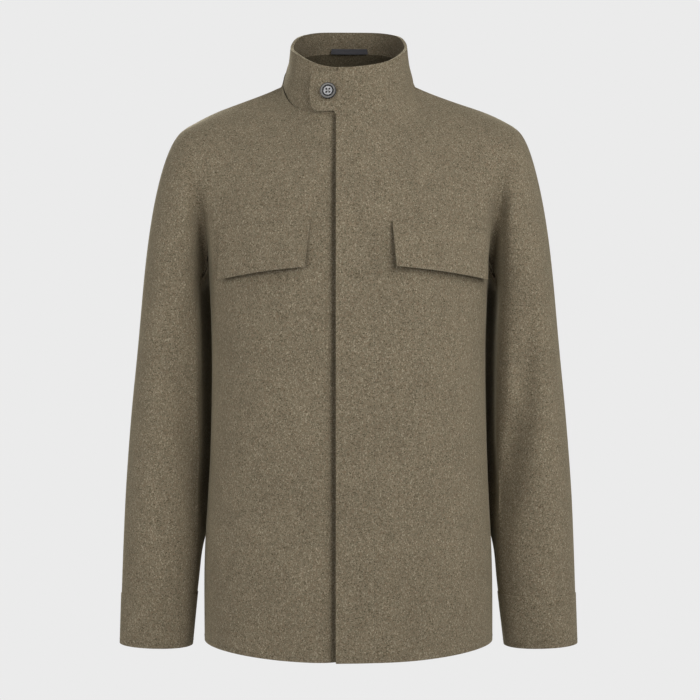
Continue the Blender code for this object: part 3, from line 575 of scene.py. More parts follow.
@dataclass(frozen=True)
class Valley(Fold):
    """A soft valley down the front, pressed towards the back and fading out behind front_y.

    Its stations are height, distance from the middle and depth, from its lower end up.
    """

    half_width: float
    sides: tuple[float, ...]
    stations: tuple[Point, ...]
    front_y: float = -0.018
    fade: float = 0.030

    def shift(self, places: np.ndarray) -> np.ndarray:
        """Return how far the valley moves each place.

        Args:
            places: Points, one a row.

        Returns:
            A shift for each point.
        """
        x, y, z = places.T
        heights, reaches, depths = np.array(self.stations).T
        course = np.interp(z, heights, reaches)
        depth = np.interp(z, heights, depths, left=0.0, right=0.0)
        depth = depth * smooth_step((self.front_y - y) / self.fade)
        shift = np.zeros_like(places)
        for side in self.sides:
            shift[:, 1] += depth * np.exp(-(((x * side - course) / self.half_width) ** 2))
        return shift


@dataclass(frozen=True)
class Swell(Fold):
    """A soft push of everything near a middle, fading out over a radius in each direction."""

    middle: Point
    radii: Point
    push: Point

    def shift(self, places: np.ndarray) -> np.ndarray:
        """Return how far the push moves each place."""
        share = ((places - np.array(self.middle)) / np.array(self.radii)) ** 2
        return np.exp(-share.sum(axis=1))[:, None] * np.array(self.push)

    def mirrored(self) -> Swell:
        """Return the same push on the other side of the garment."""
        flip = np.array((-1.0, 1.0, 1.0))
        return replace(self, middle=tuple(self.middle * flip), push=tuple(self.push * flip))


@dataclass(frozen=True)
class CuffTilt(Fold):
    """Cuffs whose lower edge rises towards the outside, because the sleeves lean outwards."""

    top_z: float = -0.6415
    bottom_z: float = -0.7060
    inner_x: float = 0.200
    outer_x: float = 0.289
    rise: float = 0.0030
    drop: float = 0.0008
    bend: float = 1.5

    def shift(self, places: np.ndarray) -> np.ndarray:
        """Return how far the tilt moves each place.

        Args:
            places: Points, one a row.

        Returns:
            A shift for each point.
        """
        down = (self.top_z - places[:, 2]) / (self.top_z - self.bottom_z)
        out = (np.abs(places[:, 0]) - self.inner_x) / (self.outer_x - self.inner_x)
        shift = np.zeros_like(places)
        shift[:, 2] = np.clip(down, 0.0, 1.0) * (
            self.rise * np.clip(out, 0.0, 1.0) ** self.bend - self.drop
        )
        return shift


LEFT = (1.0,)
RIGHT = (-1.0,)
BOTH = RIGHT + LEFT
SHOULDER_DIP = Swell((0.130, 0.0, -0.025), (0.055, 0.20, 0.040), (0.0, 0.0, -0.0012))
ELBOW_HOLLOWS = (
    Swell((0.186, 0.012, -0.545), (0.022, 0.040, 0.035), (-0.0055, 0.0, 0.0), axes=SLEEVES_ONLY),
    Swell((0.190, -0.02, -0.470), (0.022, 0.05, 0.080), (-0.0055, 0.0, 0.0), axes=SLEEVES_ONLY),
)
ARMHOLE = Valley(0.0085, BOTH, (
    (-0.280, 0.181, 0.0), (-0.262, 0.181, 0.015), (-0.225, 0.1815, 0.028), (-0.195, 0.183, 0.026),
    (-0.165, 0.1855, 0.016), (-0.135, 0.1885, 0.006), (-0.105, 0.190, 0.0),
))
SLEEVE_VALLEYS = (
    Valley(0.013, RIGHT, (
        (-0.640, 0.188, 0.004), (-0.580, 0.188, 0.014), (-0.520, 0.193, 0.018),
        (-0.446, 0.197, 0.014), (-0.350, 0.193, 0.008), (-0.270, 0.191, 0.006),
        (-0.230, 0.190, 0.0),
    ), axes=SLEEVES_ONLY),
    Valley(0.013, LEFT, (
        (-0.640, 0.188, 0.004), (-0.580, 0.188, 0.014), (-0.520, 0.193, 0.018),
        (-0.480, 0.198, 0.016), (-0.440, 0.201, 0.011), (-0.400, 0.203, 0.0),
    ), axes=SLEEVES_ONLY),
    Valley(0.008, LEFT, (
        (-0.480, 0.189, 0.0), (-0.440, 0.188, 0.007), (-0.350, 0.186, 0.007),
        (-0.270, 0.186, 0.005), (-0.230, 0.186, 0.0),
    ), axes=SLEEVES_ONLY),
    Valley(0.014, LEFT, (
        (-0.560, 0.200, 0.0), (-0.520, 0.206, 0.006), (-0.446, 0.214, 0.009),
        (-0.350, 0.220, 0.008), (-0.247, 0.227, 0.0),
    ), axes=SLEEVES_ONLY),
    Valley(0.015, RIGHT, (
        (-0.520, 0.200, 0.0), (-0.446, 0.204, 0.007), (-0.370, 0.214, 0.007),
        (-0.290, 0.226, 0.0),
    ), axes=SLEEVES_ONLY),
)
OUTLINE_FITS = (
    Swell((0.190, 0.0, -0.060), (0.045, 0.20, 0.050), (0.0040, 0.0, 0.0015)),
    SHOULDER_DIP,
    SHOULDER_DIP.mirrored(),
    Swell((-0.080, 0.0, 0.040), (0.035, 0.06, 0.035), (-0.0030, 0.0, 0.0005), axes=TRUNK_ONLY),
    Swell((-0.182, 0.0, -0.590), (0.06, 0.30, 0.10), (-0.0018, 0.0, 0.0), axes=TRUNK_ONLY),
    Swell((0.182, 0.0, -0.590), (0.06, 0.30, 0.10), (0.0010, 0.0, 0.0), axes=TRUNK_ONLY),
    Swell((0.190, 0.0, -0.630), (0.025, 0.30, 0.08), (-0.0022, 0.0, 0.0), axes=SLEEVES_ONLY),
    *(side for hollow in ELBOW_HOLLOWS for side in (hollow, hollow.mirrored())),
    Swell((-0.0475, -0.10, -0.0435), (0.006, 0.03, 0.006), (0.0028, 0.0, 0.0018), axes=TRUNK_ONLY),
)
HANG = (ARMHOLE, *SLEEVE_VALLEYS, *OUTLINE_FITS, CuffTilt(axes=SLEEVES_ONLY))
UNDER_PLACKET = Valley(0.0082, RIGHT, (
    (-0.760, 0.0145, 0.0040), (-0.200, 0.0145, 0.0040), (-0.110, 0.0145, 0.0030),
    (-0.044, 0.0145, 0.0024), (-0.028, 0.0145, 0.0),
))
PLACKET_EDGE = Valley(0.0070, RIGHT, (
    (-0.760, 0.0150, -0.0010), (-0.700, 0.0150, -0.0010), (-0.100, 0.0150, -0.0010),
    (-0.062, 0.0150, 0.0),
))
FLAP_LIFT = Swell((0.0, -0.12, -0.254), (0.30, 0.20, 0.022), (0.0, -0.0058, 0.0))
FLAP_CORNER = Swell((0.050, -0.13, -0.215), (0.014, 0.05, 0.040), (0.0, -0.0038, 0.0))
TAB_LIFT = Swell((-0.036, -0.09, -0.047), (0.024, 0.05, 0.013), (0.0, -0.0008, 0.0))


class Neighbours:
    """Finds which vertices of a piece lie on a seam, next to another CAD solid."""

    SEAM_REACH = 0.0009

    def __init__(self) -> None:
        """Gather every CAD solid's vertices in one search tree per solid."""
        self.trees: dict[str, KDTree] = {}
        for name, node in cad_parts.items():
            tree = KDTree(len(node.data.vertices))
            for index, vertex in enumerate(node.data.vertices):
                tree.insert(vertex.co, index)
            tree.balance()
            self.trees[name] = tree

    def meets(self, node: str, place: Vector) -> bool:
        """Return whether another solid than node has a vertex beside a place."""
        others = (tree for name, tree in self.trees.items() if name != node)
        return any(tree.find(place)[2] < self.SEAM_REACH for tree in others)

    def nearest(self, nodes: tuple[str, ...], place: Vector) -> Vector:
        """Return the vertex of some solids that lies nearest to a place."""
        found = [self.trees[name].find(place) for name in nodes]
        return min(found, key=lambda hit: hit[2])[0]


@dataclass
class ClothPiece:
    """A cut piece of cloth, made from the CAD solid that it replaces."""

    node: str
    axis: Axis
    levels: int
    flat: tuple[float, float]
    area: float
    edge_round: float = 0.0009
    seam_round: float = 0.15
    drape: float = 0.0006
    wall: float = 0.0045
    overlap: float = 0.00024
    finish: Finish = WOOL
    slot: Slot = Slot.WOOL
    neck_seam: bool = False
    # darker wool painted onto the inward faces as the shade inside the garment
    inside_shade: WoolFinish = WOOL_INSIDE_SHADE
    folds: tuple[Fold, ...] = ()

    MERGE_REACH = 0.00002
    QUAD_FACE_ANGLE = math.radians(35)
    QUAD_SHAPE_ANGLE = math.radians(80)
    SHARP_ANGLE = math.radians(50)
    EDGE_SEGMENTS = 3
    NECK_REACH = 0.020
    NECK_DROP = 0.0006
    NECK_GAP = 0.006
    FOOT_FACING = -0.6
    INWARD_FACING = -0.25
    WAVES_PER_METRE = (11.0, 11.0, 6.0)

    def shell(self, neighbours: Neighbours) -> bpy.types.Object:
        """Return a smooth copy of the solid with rounded edges and closed seams.

        Args:
            neighbours: The search trees of the CAD solids.

        Returns:
            The new object, at the origin, with its place in its mesh.
        """
        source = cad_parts[self.node]
        piece = bpy.data.objects.new(f"cloth_{self.node}", source.data.copy())
        bpy.context.scene.collection.objects.link(piece)
        piece.data.materials.clear()
        make_active(piece)
        bpy.ops.object.mode_set(mode="EDIT")
        bpy.ops.mesh.select_all(action="SELECT")
        bpy.ops.mesh.remove_doubles(threshold=self.MERGE_REACH)
        bpy.ops.mesh.tris_convert_to_quads(
            face_threshold=self.QUAD_FACE_ANGLE, shape_threshold=self.QUAD_SHAPE_ANGLE
        )
        bpy.ops.object.mode_set(mode="OBJECT")
        self.prepare_edges(piece, neighbours)
        smooth = piece.modifiers.new("smooth", "SUBSURF")
        smooth.levels = self.levels
        smooth.render_levels = self.levels
        rounded = piece.modifiers.new("edge", "BEVEL")
        rounded.width = self.edge_round
        rounded.segments = self.EDGE_SEGMENTS
        rounded.limit_method = "WEIGHT"
        rounded.use_clamp_overlap = True
        apply_modifiers(piece)
        return piece

    def prepare_edges(self, piece: bpy.types.Object, neighbours: Neighbours) -> None:
        """Crease the cloth's edges, weigh how round they get, and let neighbours meet at the seams.

        Args:
            piece: The merged copy of the solid.
            neighbours: The search trees of the CAD solids.
        """
        shape = bmesh.new()
        shape.from_mesh(piece.data)
        shape.normal_update()
        layers = shape.edges.layers.float
        crease = layers.get("crease_edge") or layers.new("crease_edge")
        weight = layers.get("bevel_weight_edge") or layers.new("bevel_weight_edge")
        on_seam = {vertex: neighbours.meets(self.node, vertex.co) for vertex in shape.verts}
        sharp = [edge for edge in shape.edges if edge.calc_face_angle(0.0) > self.SHARP_ANGLE]
        for edge in sharp:
            edge[crease] = 1.0
            seamed = all(on_seam[vertex] for vertex in edge.verts)
            edge[weight] = self.seam_round if seamed else 1.0
        marked = set(sharp)
        pushes: dict[bmesh.types.BMVert, Vector] = {}
        for face in shape.faces:
            crossing = min(edge.calc_length() for edge in face.edges)
            if crossing > self.wall or sum(edge in marked for edge in face.edges) < 2:
                continue
            for vertex in face.verts:
                pushes[vertex] = pushes.get(vertex, Vector()) + face.normal
        shifts = self.neck_shifts(shape, neighbours) if self.neck_seam else {}
        for vertex, push in pushes.items():
            if push.length > TINY:
                vertex.co += push.normalized() * self.overlap
        for vertex, shift in shifts.items():
            vertex.co += shift
        shape.to_mesh(piece.data)
        shape.free()

    def neck_shifts(
        self, shape: bmesh.types.BMesh, neighbours: Neighbours
    ) -> dict[bmesh.types.BMVert, Vector]:
        """Return how a collar's vertices move so that its lower edge sits on the body's edge.

        Args:
            shape: The collar's mesh.
            neighbours: The search trees of the CAD solids.

        Returns:
            A level shift for every vertex near the neck seam, and a small drop for its foot.
        """
        foot = {
            vertex for face in shape.faces if face.normal.z < self.FOOT_FACING
            for vertex in face.verts
        }
        tree = KDTree(len(foot))
        moves = {}
        for index, vertex in enumerate(foot):
            step = neighbours.nearest(TRUNK_CLOTHS, vertex.co) - vertex.co
            if step.length < self.NECK_GAP:
                tree.insert(vertex.co, index)
                moves[index] = Vector((step.x, step.y, 0.0))
        tree.balance()
        shifts = {}
        for vertex in shape.verts:
            _place, index, distance = tree.find(vertex.co)
            if distance < self.NECK_REACH:
                fade = float(smooth_step(np.array(1.0 - distance / self.NECK_REACH)))
                shifts[vertex] = moves[index] * fade
        for vertex in foot:
            shifts[vertex] = shifts.get(vertex, Vector()) - Vector((0.0, 0.0, self.NECK_DROP))
        return shifts

    def settle(self, piece: bpy.types.Object) -> None:
        """Give a piece the slight unevenness of hanging wool.

        Args:
            piece: The piece to move.
        """
        places = vertex_places(piece)
        away = outward(places, self.axis)
        waves = np.array([noise.noise(place) for place in places * self.WAVES_PER_METRE])
        settled = places + away * (waves * self.drape)[:, None]
        for fold in HANG + self.folds:
            if self.axis in fold.axes:
                settled = settled + fold.shift(places)
        set_vertex_places(piece, settled)

    def dress(self, piece: bpy.types.Object) -> None:
        """Args:
            piece: The finished piece.
        """
        dress_piece(piece, self.finish, self.SHARP_ANGLE)
        if self.finish is WOOL:
            self.paint_inside_shade(piece)
        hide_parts(self.node)

    def paint_inside_shade(self, piece: bpy.types.Object) -> None:
        """Paint shade onto the faces that look into the garment, with a darker wool that stands for
        the shade inside it.

        Args:
            piece: The finished piece.
        """
        # the inward faces get painted shade: a darker wool in place of the lit wool
        piece.data.materials.append(material_of(self.inside_shade))
        polygons = piece.data.polygons
        centres, normals = np.empty((2, len(polygons) * 3))
        polygons.foreach_get("center", centres)
        polygons.foreach_get("normal", normals)
        away = outward(centres.reshape(-1, 3), self.axis)
        facing = (away * normals.reshape(-1, 3)).sum(axis=1)
        # mask of the faces that get the painted inside shade
        inside_shade = (facing < self.INWARD_FACING).astype(np.int32)
        polygons.foreach_set("material_index", inside_shade)

    def build(self, neighbours: Neighbours) -> bpy.types.Object:
        """Return the finished piece.

        Args:
            neighbours: The search trees of the CAD solids.

        Returns:
            The piece, dressed and attached to the body.
        """
        piece = self.shell(neighbours)
        self.settle(piece)
        self.dress(piece)
        return piece


@dataclass
class Garment:
    """All cut pieces of the overshirt."""

    def pieces(self) -> list[ClothPiece]:
        """List the cut pieces.

        Returns:
            Each piece's node, tube, subdivisions, flat width and length, and flat area, with
            what sets it apart.
        """
        trunk, left, right = Axis.TRUNK, Axis.LEFT_SLEEVE, Axis.RIGHT_SLEEVE
        flap = ClothPiece(
            "flap_left", trunk, 3, (0.15, 0.065), 0.0085, edge_round=0.0013, seam_round=0.35,
            folds=(FLAP_LIFT, FLAP_CORNER),
        )
        return [
            ClothPiece("front_left", trunk, 3, (0.24, 0.72), 0.145),
            ClothPiece("front_right", trunk, 3, (0.29, 0.72), 0.175, folds=(UNDER_PLACKET,)),
            ClothPiece("back", trunk, 2, (0.56, 0.75), 0.36),
            ClothPiece(
                "placket", trunk, 3, (0.05, 0.67), 0.032, edge_round=0.0013, seam_round=0.30,
                folds=(PLACKET_EDGE,),
            ),
            ClothPiece(
                "collar", trunk, 3, (0.53, 0.09), 0.033, edge_round=0.0016, seam_round=0.08,
                neck_seam=True, inside_shade=WOOL_COLLAR_INSIDE_SHADE, folds=(TAB_LIFT,),
            ),
            ClothPiece("sleeve_left", left, 3, (0.36, 0.62), 0.18),
            ClothPiece("sleeve_right", right, 3, (0.36, 0.62), 0.18),
            ClothPiece("cuff_left", left, 3, (0.29, 0.065), 0.0185, edge_round=0.0012),
            ClothPiece("cuff_right", right, 3, (0.29, 0.065), 0.0185, edge_round=0.0012),
            flap,
            replace(flap, node="flap_right", folds=(FLAP_LIFT,)),
            ClothPiece(
                "neck_tape", trunk, 2, (0.049, 0.010), 0.00036, edge_round=0.0002, wall=0.0009,
                finish=NECK_TAPE, slot=Slot.TAPE,
            ),
        ]

    def build(self) -> dict[str, bpy.types.Object]:
        """Return every cloth piece by the name of its node."""
        neighbours = Neighbours()
        return {piece.node: piece.build(neighbours) for piece in self.pieces()}


PLACKET_SEAM = ((0.0311, -0.0850), (0.0311, -0.7020))
FLAP_SEAM = (
    (0.0555, -0.1812), (0.0893, -0.1817), (0.1206, -0.1833), (0.1473, -0.1857), (0.1690, -0.1884)
)


@dataclass
class StitchRow:
    """A row of machine stitches, at a rise above a lower edge or on a course of x and z."""

    name: str
    pieces: tuple[str, ...]
    rise: float = 0.0
    course: tuple[tuple[float, float], ...] = ()
    pitch: float = 0.0034
    length: float = 0.0026
    radius: float = 0.00042
    sink: float = 0.00012
    dip: float = 1.5
    taper: float = 0.4


@dataclass
class Stitching:
    """All visible stitches, laid on the cloth by its own surface."""

    cloths: dict[str, bpy.types.Object]

    RAY = 0.6
    FOOT_BAND = 0.03
    EDGE_BELOW = 0.001
    EDGE_ABOVE = 0.016
    HALVINGS = 9

    def search_trees(self, names: tuple[str, ...]) -> list[BVHTree]:
        """Gather the faces of some pieces for rays to hit.

        Args:
            names: The nodes that the pieces stand for.

        Returns:
            A search tree for each piece.
        """
        meshes = [self.cloths[name].data for name in names]
        return [
            BVHTree.FromPolygons(
                [vertex.co for vertex in mesh.vertices],
                [polygon.vertices for polygon in mesh.polygons],
            )
            for mesh in meshes
        ]

    def first_hit(
        self, trees: list[BVHTree], start: Vector, toward: Vector
    ) -> list[tuple[Vector, Vector]]:
        """Look for the cloth along a ray.

        Args:
            trees: The pieces that are looked at.
            start: Where the ray starts.
            toward: Its direction.

        Returns:
            The nearest point on the cloth with the cloth's normal, or nothing.
        """
        hits = [tree.ray_cast(start, toward, self.RAY) for tree in trees]
        hits = sorted((hit for hit in hits if hit[0] is not None), key=lambda hit: hit[3])
        return [(place, normal) for place, normal, _face, _distance in hits[:1]]

    def face_line(self, row: StitchRow, step: float = 0.002) -> list[tuple[Vector, Vector]]:
        """Return where a row of stitches runs on the front, seen from before the garment.

        Args:
            row: The row, with the corners of its course.
            step: How far apart the points of the line lie.

        Returns:
            Points on the cloth with the cloth's normals, in the order of the course.
        """
        trees = self.search_trees(row.pieces)
        xs, zs = np.array(row.course).T
        lengths = np.append(0.0, np.cumsum(np.hypot(np.diff(xs), np.diff(zs))))
        line = []
        for at in np.arange(0.0, lengths[-1], step):
            start = Vector((np.interp(at, lengths, xs), -self.RAY, np.interp(at, lengths, zs)))
            line += self.first_hit(trees, start, Vector((0.0, 1.0, 0.0)))
        return line

    def hem_line(self, row: StitchRow, turns: int = 720) -> list[tuple[Vector, Vector]]:
        """Return where a row of stitches runs round the lower edge of a tube.

        Args:
            row: The row, whose pieces form the tube.
            turns: How many directions the tube is looked at from.

        Returns:
            Points on the cloth with the cloth's normals, in order round the tube.
        """
        trees = self.search_trees(row.pieces)
        places = np.concatenate([vertex_places(self.cloths[name]) for name in row.pieces])
        lowest = places[:, 2].min()
        foot = places[places[:, 2] < lowest + self.FOOT_BAND]
        middle = (foot.min(axis=0) + foot.max(axis=0)) / 2.0
        middle[2] = lowest
        line = []
        for angle in (math.tau * step / turns for step in range(turns)):
            away = Vector((math.cos(angle), math.sin(angle), 0.0))
            edge_z = self.edge_height(trees, middle, away)
            start = Vector((middle[0], middle[1], edge_z + row.rise)) + away * self.RAY
            line += self.first_hit(trees, start, -away)
        return line

    def edge_height(self, trees: list[BVHTree], middle: np.ndarray, away: Vector) -> float:
        """Return how low the cloth reaches in one direction from a tube's middle.

        Args:
            trees: The tube's pieces.
            middle: The tube's middle, at its lowest height.
            away: The level direction.

        Returns:
            The height of the lower edge there.
        """
        low, high = float(middle[2]) - self.EDGE_BELOW, float(middle[2]) + self.EDGE_ABOVE
        for _halving in range(self.HALVINGS):
            height = (low + high) / 2.0
            start = Vector((middle[0], middle[1], height)) + away * self.RAY
            if self.first_hit(trees, start, -away):
                high = height
            else:
                low = height
        return high

    def sew(
        self, row: StitchRow, line: list[tuple[Vector, Vector]], closed: bool
    ) -> bpy.types.Object:
        """Return a row of stitches along a line.

        Args:
            row: The sizes of the stitches.
            line: Points on the cloth with its normals.
            closed: Whether the line's end meets its start.

        Returns:
            One object that holds every stitch.
        """
        if closed:
            line = line + line[:1]
        points, normals = (np.array(vectors) for vectors in zip(*line))
        steps = [(after - before).length for (before, _), (after, _) in zip(line, line[1:])]
        lengths = np.append(0.0, np.cumsum(steps))
        count = int(lengths[-1] / row.pitch)
        template = self.stitch_template(row)
        shape = bmesh.new()
        for index in range(count):
            middle = (index + 0.5) * row.pitch
            start, end, up = (
                Vector([np.interp(at, lengths, column) for column in columns.T])
                for at, columns in (
                    (middle - row.length / 2, points), (middle + row.length / 2, points),
                    (middle, normals),
                )
            )
            along = (end - start).normalized()
            up = (up - along * up.dot(along)).normalized()
            side = up.cross(along)
            centre = (start + end) / 2.0 - up * row.sink
            place = Matrix((along, side, up)).transposed().to_4x4()
            place.translation = centre
            copy = template.copy()
            copy.transform(place)
            shape.from_mesh(copy)
            bpy.data.meshes.remove(copy)
        bpy.data.meshes.remove(template)
        mesh = bpy.data.meshes.new(row.name)
        shape.to_mesh(mesh)
        shape.free()
        stitches = bpy.data.objects.new(row.name, mesh)
        bpy.context.scene.collection.objects.link(stitches)
        return stitches

    @staticmethod
    def stitch_template(row: StitchRow) -> bpy.types.Mesh:
        """Model one stitch, along X, with its ends bent down into the cloth.

        Args:
            row: The sizes of the stitch.

        Returns:
            Its mesh.
        """
        stitch = add_cylinder(6, row.radius, row.length, turn=ALONG_X)
        bpy.ops.object.mode_set(mode="EDIT")
        cut_across(ORIGIN, (1.0, 0.0, 0.0))
        bpy.ops.object.mode_set(mode="OBJECT")
        for vertex in stitch.data.vertices:
            share = abs(vertex.co.x) / (row.length / 2.0)
            vertex.co.z -= row.radius * row.dip * share**2
            vertex.co.y *= 1.0 - row.taper * share
        mesh = stitch.data
        bpy.data.objects.remove(stitch)
        return mesh

    def build(self) -> None:
        """Sew the hem, the cuffs, the placket's seam and the flaps' upper edges."""
        rise = 0.0054
        mirrored_seam = tuple((-x, z) for x, z in FLAP_SEAM)
        for row in (
            StitchRow("stitches_hem", TRUNK_CLOTHS, rise),
            StitchRow("stitches_cuff_left", ("cuff_left",), rise),
            StitchRow("stitches_cuff_right", ("cuff_right",), rise),
            StitchRow("stitches_placket", ("placket",), course=PLACKET_SEAM),
            StitchRow("stitches_flap_left", ("flap_left",), course=FLAP_SEAM),
            StitchRow("stitches_flap_right", ("flap_right",), course=mirrored_seam),
        ):
            line = self.face_line(row) if row.course else self.hem_line(row)
            stitches = self.sew(row, line, closed=not row.course)
            dress_piece(stitches, SEWING_THREAD_GROOVE_SHADE)


@dataclass
class CollarButton:
    """The four-hole button on the tab, with its crossed threads."""

    radius: float = 0.0100
    thickness: float = 0.0034
    rim_inner: float = 0.0073
    groove_inner: float = 0.0058
    groove_depth: float = 0.0013
    hole_radius: float = 0.0013
    groove_wall: float = 0.0003
    face_share: float = 0.72
    rim_round: float = 0.0009
    edge_soft: float = 0.0004
    edge_angle: float = math.radians(28)
    dome: tuple[tuple[float, float], ...] = ((0.0012, 0.00015), (0.0030, -0.00035))
    hole_offset: float = 0.0019
    thread_radius: float = 0.00021
    strand_share: float = 0.62
    strand_gap: float = 0.6
    strand_bends: int = 7
    bent_share: float = 0.8
    arches: tuple[float, float] = (0.00045, 0.00070)
    thread_dip: float = 0.0022
    shank_share: float = 1.1
    shank_length: float = 0.0022
    shank_middle: float = -0.0006
    shank_cuts: tuple[float, float] = (-0.0014, 0.0002)
    windings: int = 5
    winding_swell: float = 0.10
    winding_waves: float = 8000.0
    # reach of the painted side shadow and of the painted groove shade
    side_shadow_band: float = 0.0008
    groove_shade_margin: float = 0.0004
    groove_shade_floor: float = 0.0005

    FACING_UP = 0.9
    FACING_DOWN = -0.5

    def place(self) -> Matrix:
        """Return where the CAD button sits: its middle, with Z out of the cloth.

        Returns:
            The matrix that carries a button built flat at the origin to its place.
        """
        places = vertex_places(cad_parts["button"])
        middle = (places.min(axis=0) + places.max(axis=0)) / 2.0
        _values, vectors = np.linalg.eigh(np.cov((places - places.mean(axis=0)).T))
        out = Vector(vectors[:, 0])
        if out.y > 0:
            out = -out
        up = Vector((0.0, 0.0, 1.0))
        up = (up - out * up.dot(out)).normalized()
        matrix = Matrix((up.cross(out), up, out)).transposed().to_4x4()
        matrix.translation = Vector(middle) - out * (self.thickness / 2.0)
        return matrix

    def disc(self) -> bpy.types.Object:
        """Turn the button's body.

        Returns:
            The body, with a rounded rim, a turned groove and four holes.
        """
        button = add_cylinder(72, self.radius, self.thickness, (0.0, 0.0, self.thickness / 2.0))
        button.name = "collar_button"
        bpy.ops.object.mode_set(mode="EDIT")
        bpy.ops.mesh.select_mode(type="FACE")
        self.select_top(button)
        steps = (
            (self.rim_round, 0.0),
            (self.radius - self.rim_round - self.rim_inner, 0.0),
            (self.groove_wall, -self.groove_depth),
            (self.rim_inner - self.groove_inner - self.groove_wall * 2.0, 0.0),
            (self.groove_wall, self.groove_depth * self.face_share),
            *self.dome,
        )
        for inset, rise in steps:
            bpy.ops.mesh.inset(thickness=inset, depth=0.0)
            bpy.ops.transform.translate(value=(0.0, 0.0, rise))
        bpy.ops.object.mode_set(mode="OBJECT")
        self.round_rim(button)
        return button

    def select_top(self, button: bpy.types.Object) -> None:
        """Select the top face alone.

        Args:
            button: The disc, in edit mode.
        """
        bpy.ops.mesh.select_all(action="DESELECT")
        shape = bmesh.from_edit_mesh(button.data)
        shape.faces.ensure_lookup_table()
        for face in shape.faces:
            face.select = face.normal.z > self.FACING_UP
        bmesh.update_edit_mesh(button.data)

    def round_rim(self, button: bpy.types.Object) -> None:
        """Round the button's edges and drill its holes.

        Args:
            button: The turned disc.
        """
        soft = button.modifiers.new("soft", "BEVEL")
        soft.width = self.edge_soft
        soft.segments = 3
        soft.limit_method = "ANGLE"
        soft.angle_limit = self.edge_angle
        for index in range(4):
            angle = math.radians(45.0 + 90.0 * index)
            place = (math.cos(angle) * self.hole_reach(), math.sin(angle) * self.hole_reach(), 0.0)
            drill = add_cylinder(20, self.hole_radius, self.thickness * 4, place)
            hole = button.modifiers.new("hole", "BOOLEAN")
            hole.object = drill
            hole.solver = "EXACT"
            make_active(button)
            if index == 0:
                bpy.ops.object.modifier_apply(modifier="soft")
            bpy.ops.object.modifier_apply(modifier=hole.name)
            bpy.data.objects.remove(drill)

    def hole_reach(self) -> float:
        """Return how far the middle of a hole lies from the button's middle."""
        return self.hole_offset * math.sqrt(2.0)

    def threads(self) -> bpy.types.Object:
        """Lay two crossed loops of thread through the four holes.

        Returns:
            All strands as one object.
        """
        strands = [
            self.strand(angle, arch, side)
            for angle, arch in zip((45.0, 135.0), self.arches)
            for side in (-1.0, 1.0)
        ]
        deselect_all()
        for strand in strands:
            strand.select_set(True)
        bpy.context.view_layer.objects.active = strands[0]
        bpy.ops.object.join()
        thread = bpy.context.object
        thread.name = "button_thread"
        return thread

    def strand(self, angle: float, arch: float, side: float) -> bpy.types.Object:
        """Lay one strand over the button's face, with its ends in two holes.

        Args:
            angle: Its direction in degrees.
            arch: How high it stands over the face.
            side: Which of the two strands beside each other it is, -1 or 1.

        Returns:
            The strand.
        """
        reach = self.hole_reach()
        top = self.thickness - self.groove_depth * (1.0 - self.face_share)
        width = self.thread_radius * self.strand_share
        strand = add_cylinder(8, width, reach * 2.0, turn=ALONG_X)
        bpy.ops.object.mode_set(mode="EDIT")
        for cut in np.linspace(-self.bent_share, self.bent_share, self.strand_bends):
            cut_across((cut * reach, 0.0, 0.0), (1.0, 0.0, 0.0))
        bpy.ops.object.mode_set(mode="OBJECT")
        for vertex in strand.data.vertices:
            share = abs(vertex.co.x) / reach
            vertex.co.z += top + arch - (arch + self.thread_dip) * share**3
            vertex.co.y += side * self.strand_gap * self.thread_radius
        strand.data.transform(Matrix.Rotation(math.radians(angle), 4, "Z"))
        return strand

    def shank(self) -> bpy.types.Object:
        """Wind the thread between the button and the cloth.

        Returns:
            The wound thread.
        """
        width = self.hole_offset * self.shank_share
        shank = add_cylinder(16, width, self.shank_length, (0.0, 0.0, self.shank_middle))
        shank.name = "button_shank"
        bpy.ops.object.mode_set(mode="EDIT")
        for height in np.linspace(*self.shank_cuts, self.windings):
            cut_across((0.0, 0.0, height), (0.0, 0.0, 1.0))
        bpy.ops.object.mode_set(mode="OBJECT")
        for vertex in shank.data.vertices:
            swell = 1.0 + self.winding_swell * math.cos(vertex.co.z * self.winding_waves)
            vertex.co.x *= swell
            vertex.co.y *= swell
        return shank

    def build(self) -> None:
        """Build the button, its threads and its shank in their place."""
        button = self.disc()
        matrix = self.place()
        for piece, finish, smooth in (
            (button, BUTTON_PALE, 35), (self.threads(), BUTTON_THREAD, 60),
            (self.shank(), BUTTON_THREAD, 60),
        ):
            piece.data.transform(matrix)
            dress_piece(piece, finish, math.radians(smooth))
        self.colour_rings(button, matrix)
        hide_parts("button")

    def colour_rings(self, button: bpy.types.Object, matrix: Matrix) -> None:
        """Paint shade into the groove and a contact shadow onto the button's side with the dark
        resin, and give its rim the middle resin.

        Args:
            button: The button in its place.
            matrix: Where it was placed.
        """
        button.data.materials.append(material_of(BUTTON_RIM))
        button.data.materials.append(material_of(BUTTON_SHADE))
        # slot 2 holds the painted groove shade and side shadow
        rim, dark = 1, 2
        back = matrix.inverted()
        for polygon in button.data.polygons:
            middle = back @ polygon.center
            distance = math.hypot(middle.x, middle.y)
            normal = back.to_3x3() @ polygon.normal
            # faces in the groove get painted shade, faces at the side a painted contact shadow
            inner = self.groove_inner - self.groove_shade_margin
            groove_shade = inner < distance < self.rim_inner and middle.z > self.groove_shade_floor
            side_shadow = distance > self.radius - self.side_shadow_band or normal.z < self.FACING_DOWN
            if groove_shade or side_shadow:
                polygon.material_index = dark
            elif distance >= self.rim_inner:
                polygon.material_index = rim


# Studio
@dataclass(frozen=True)
class Lamp:
    """A square soft box: where it stands, the length of its side and its power in watts."""

    name: str
    place: Point
    size: float
    power: float


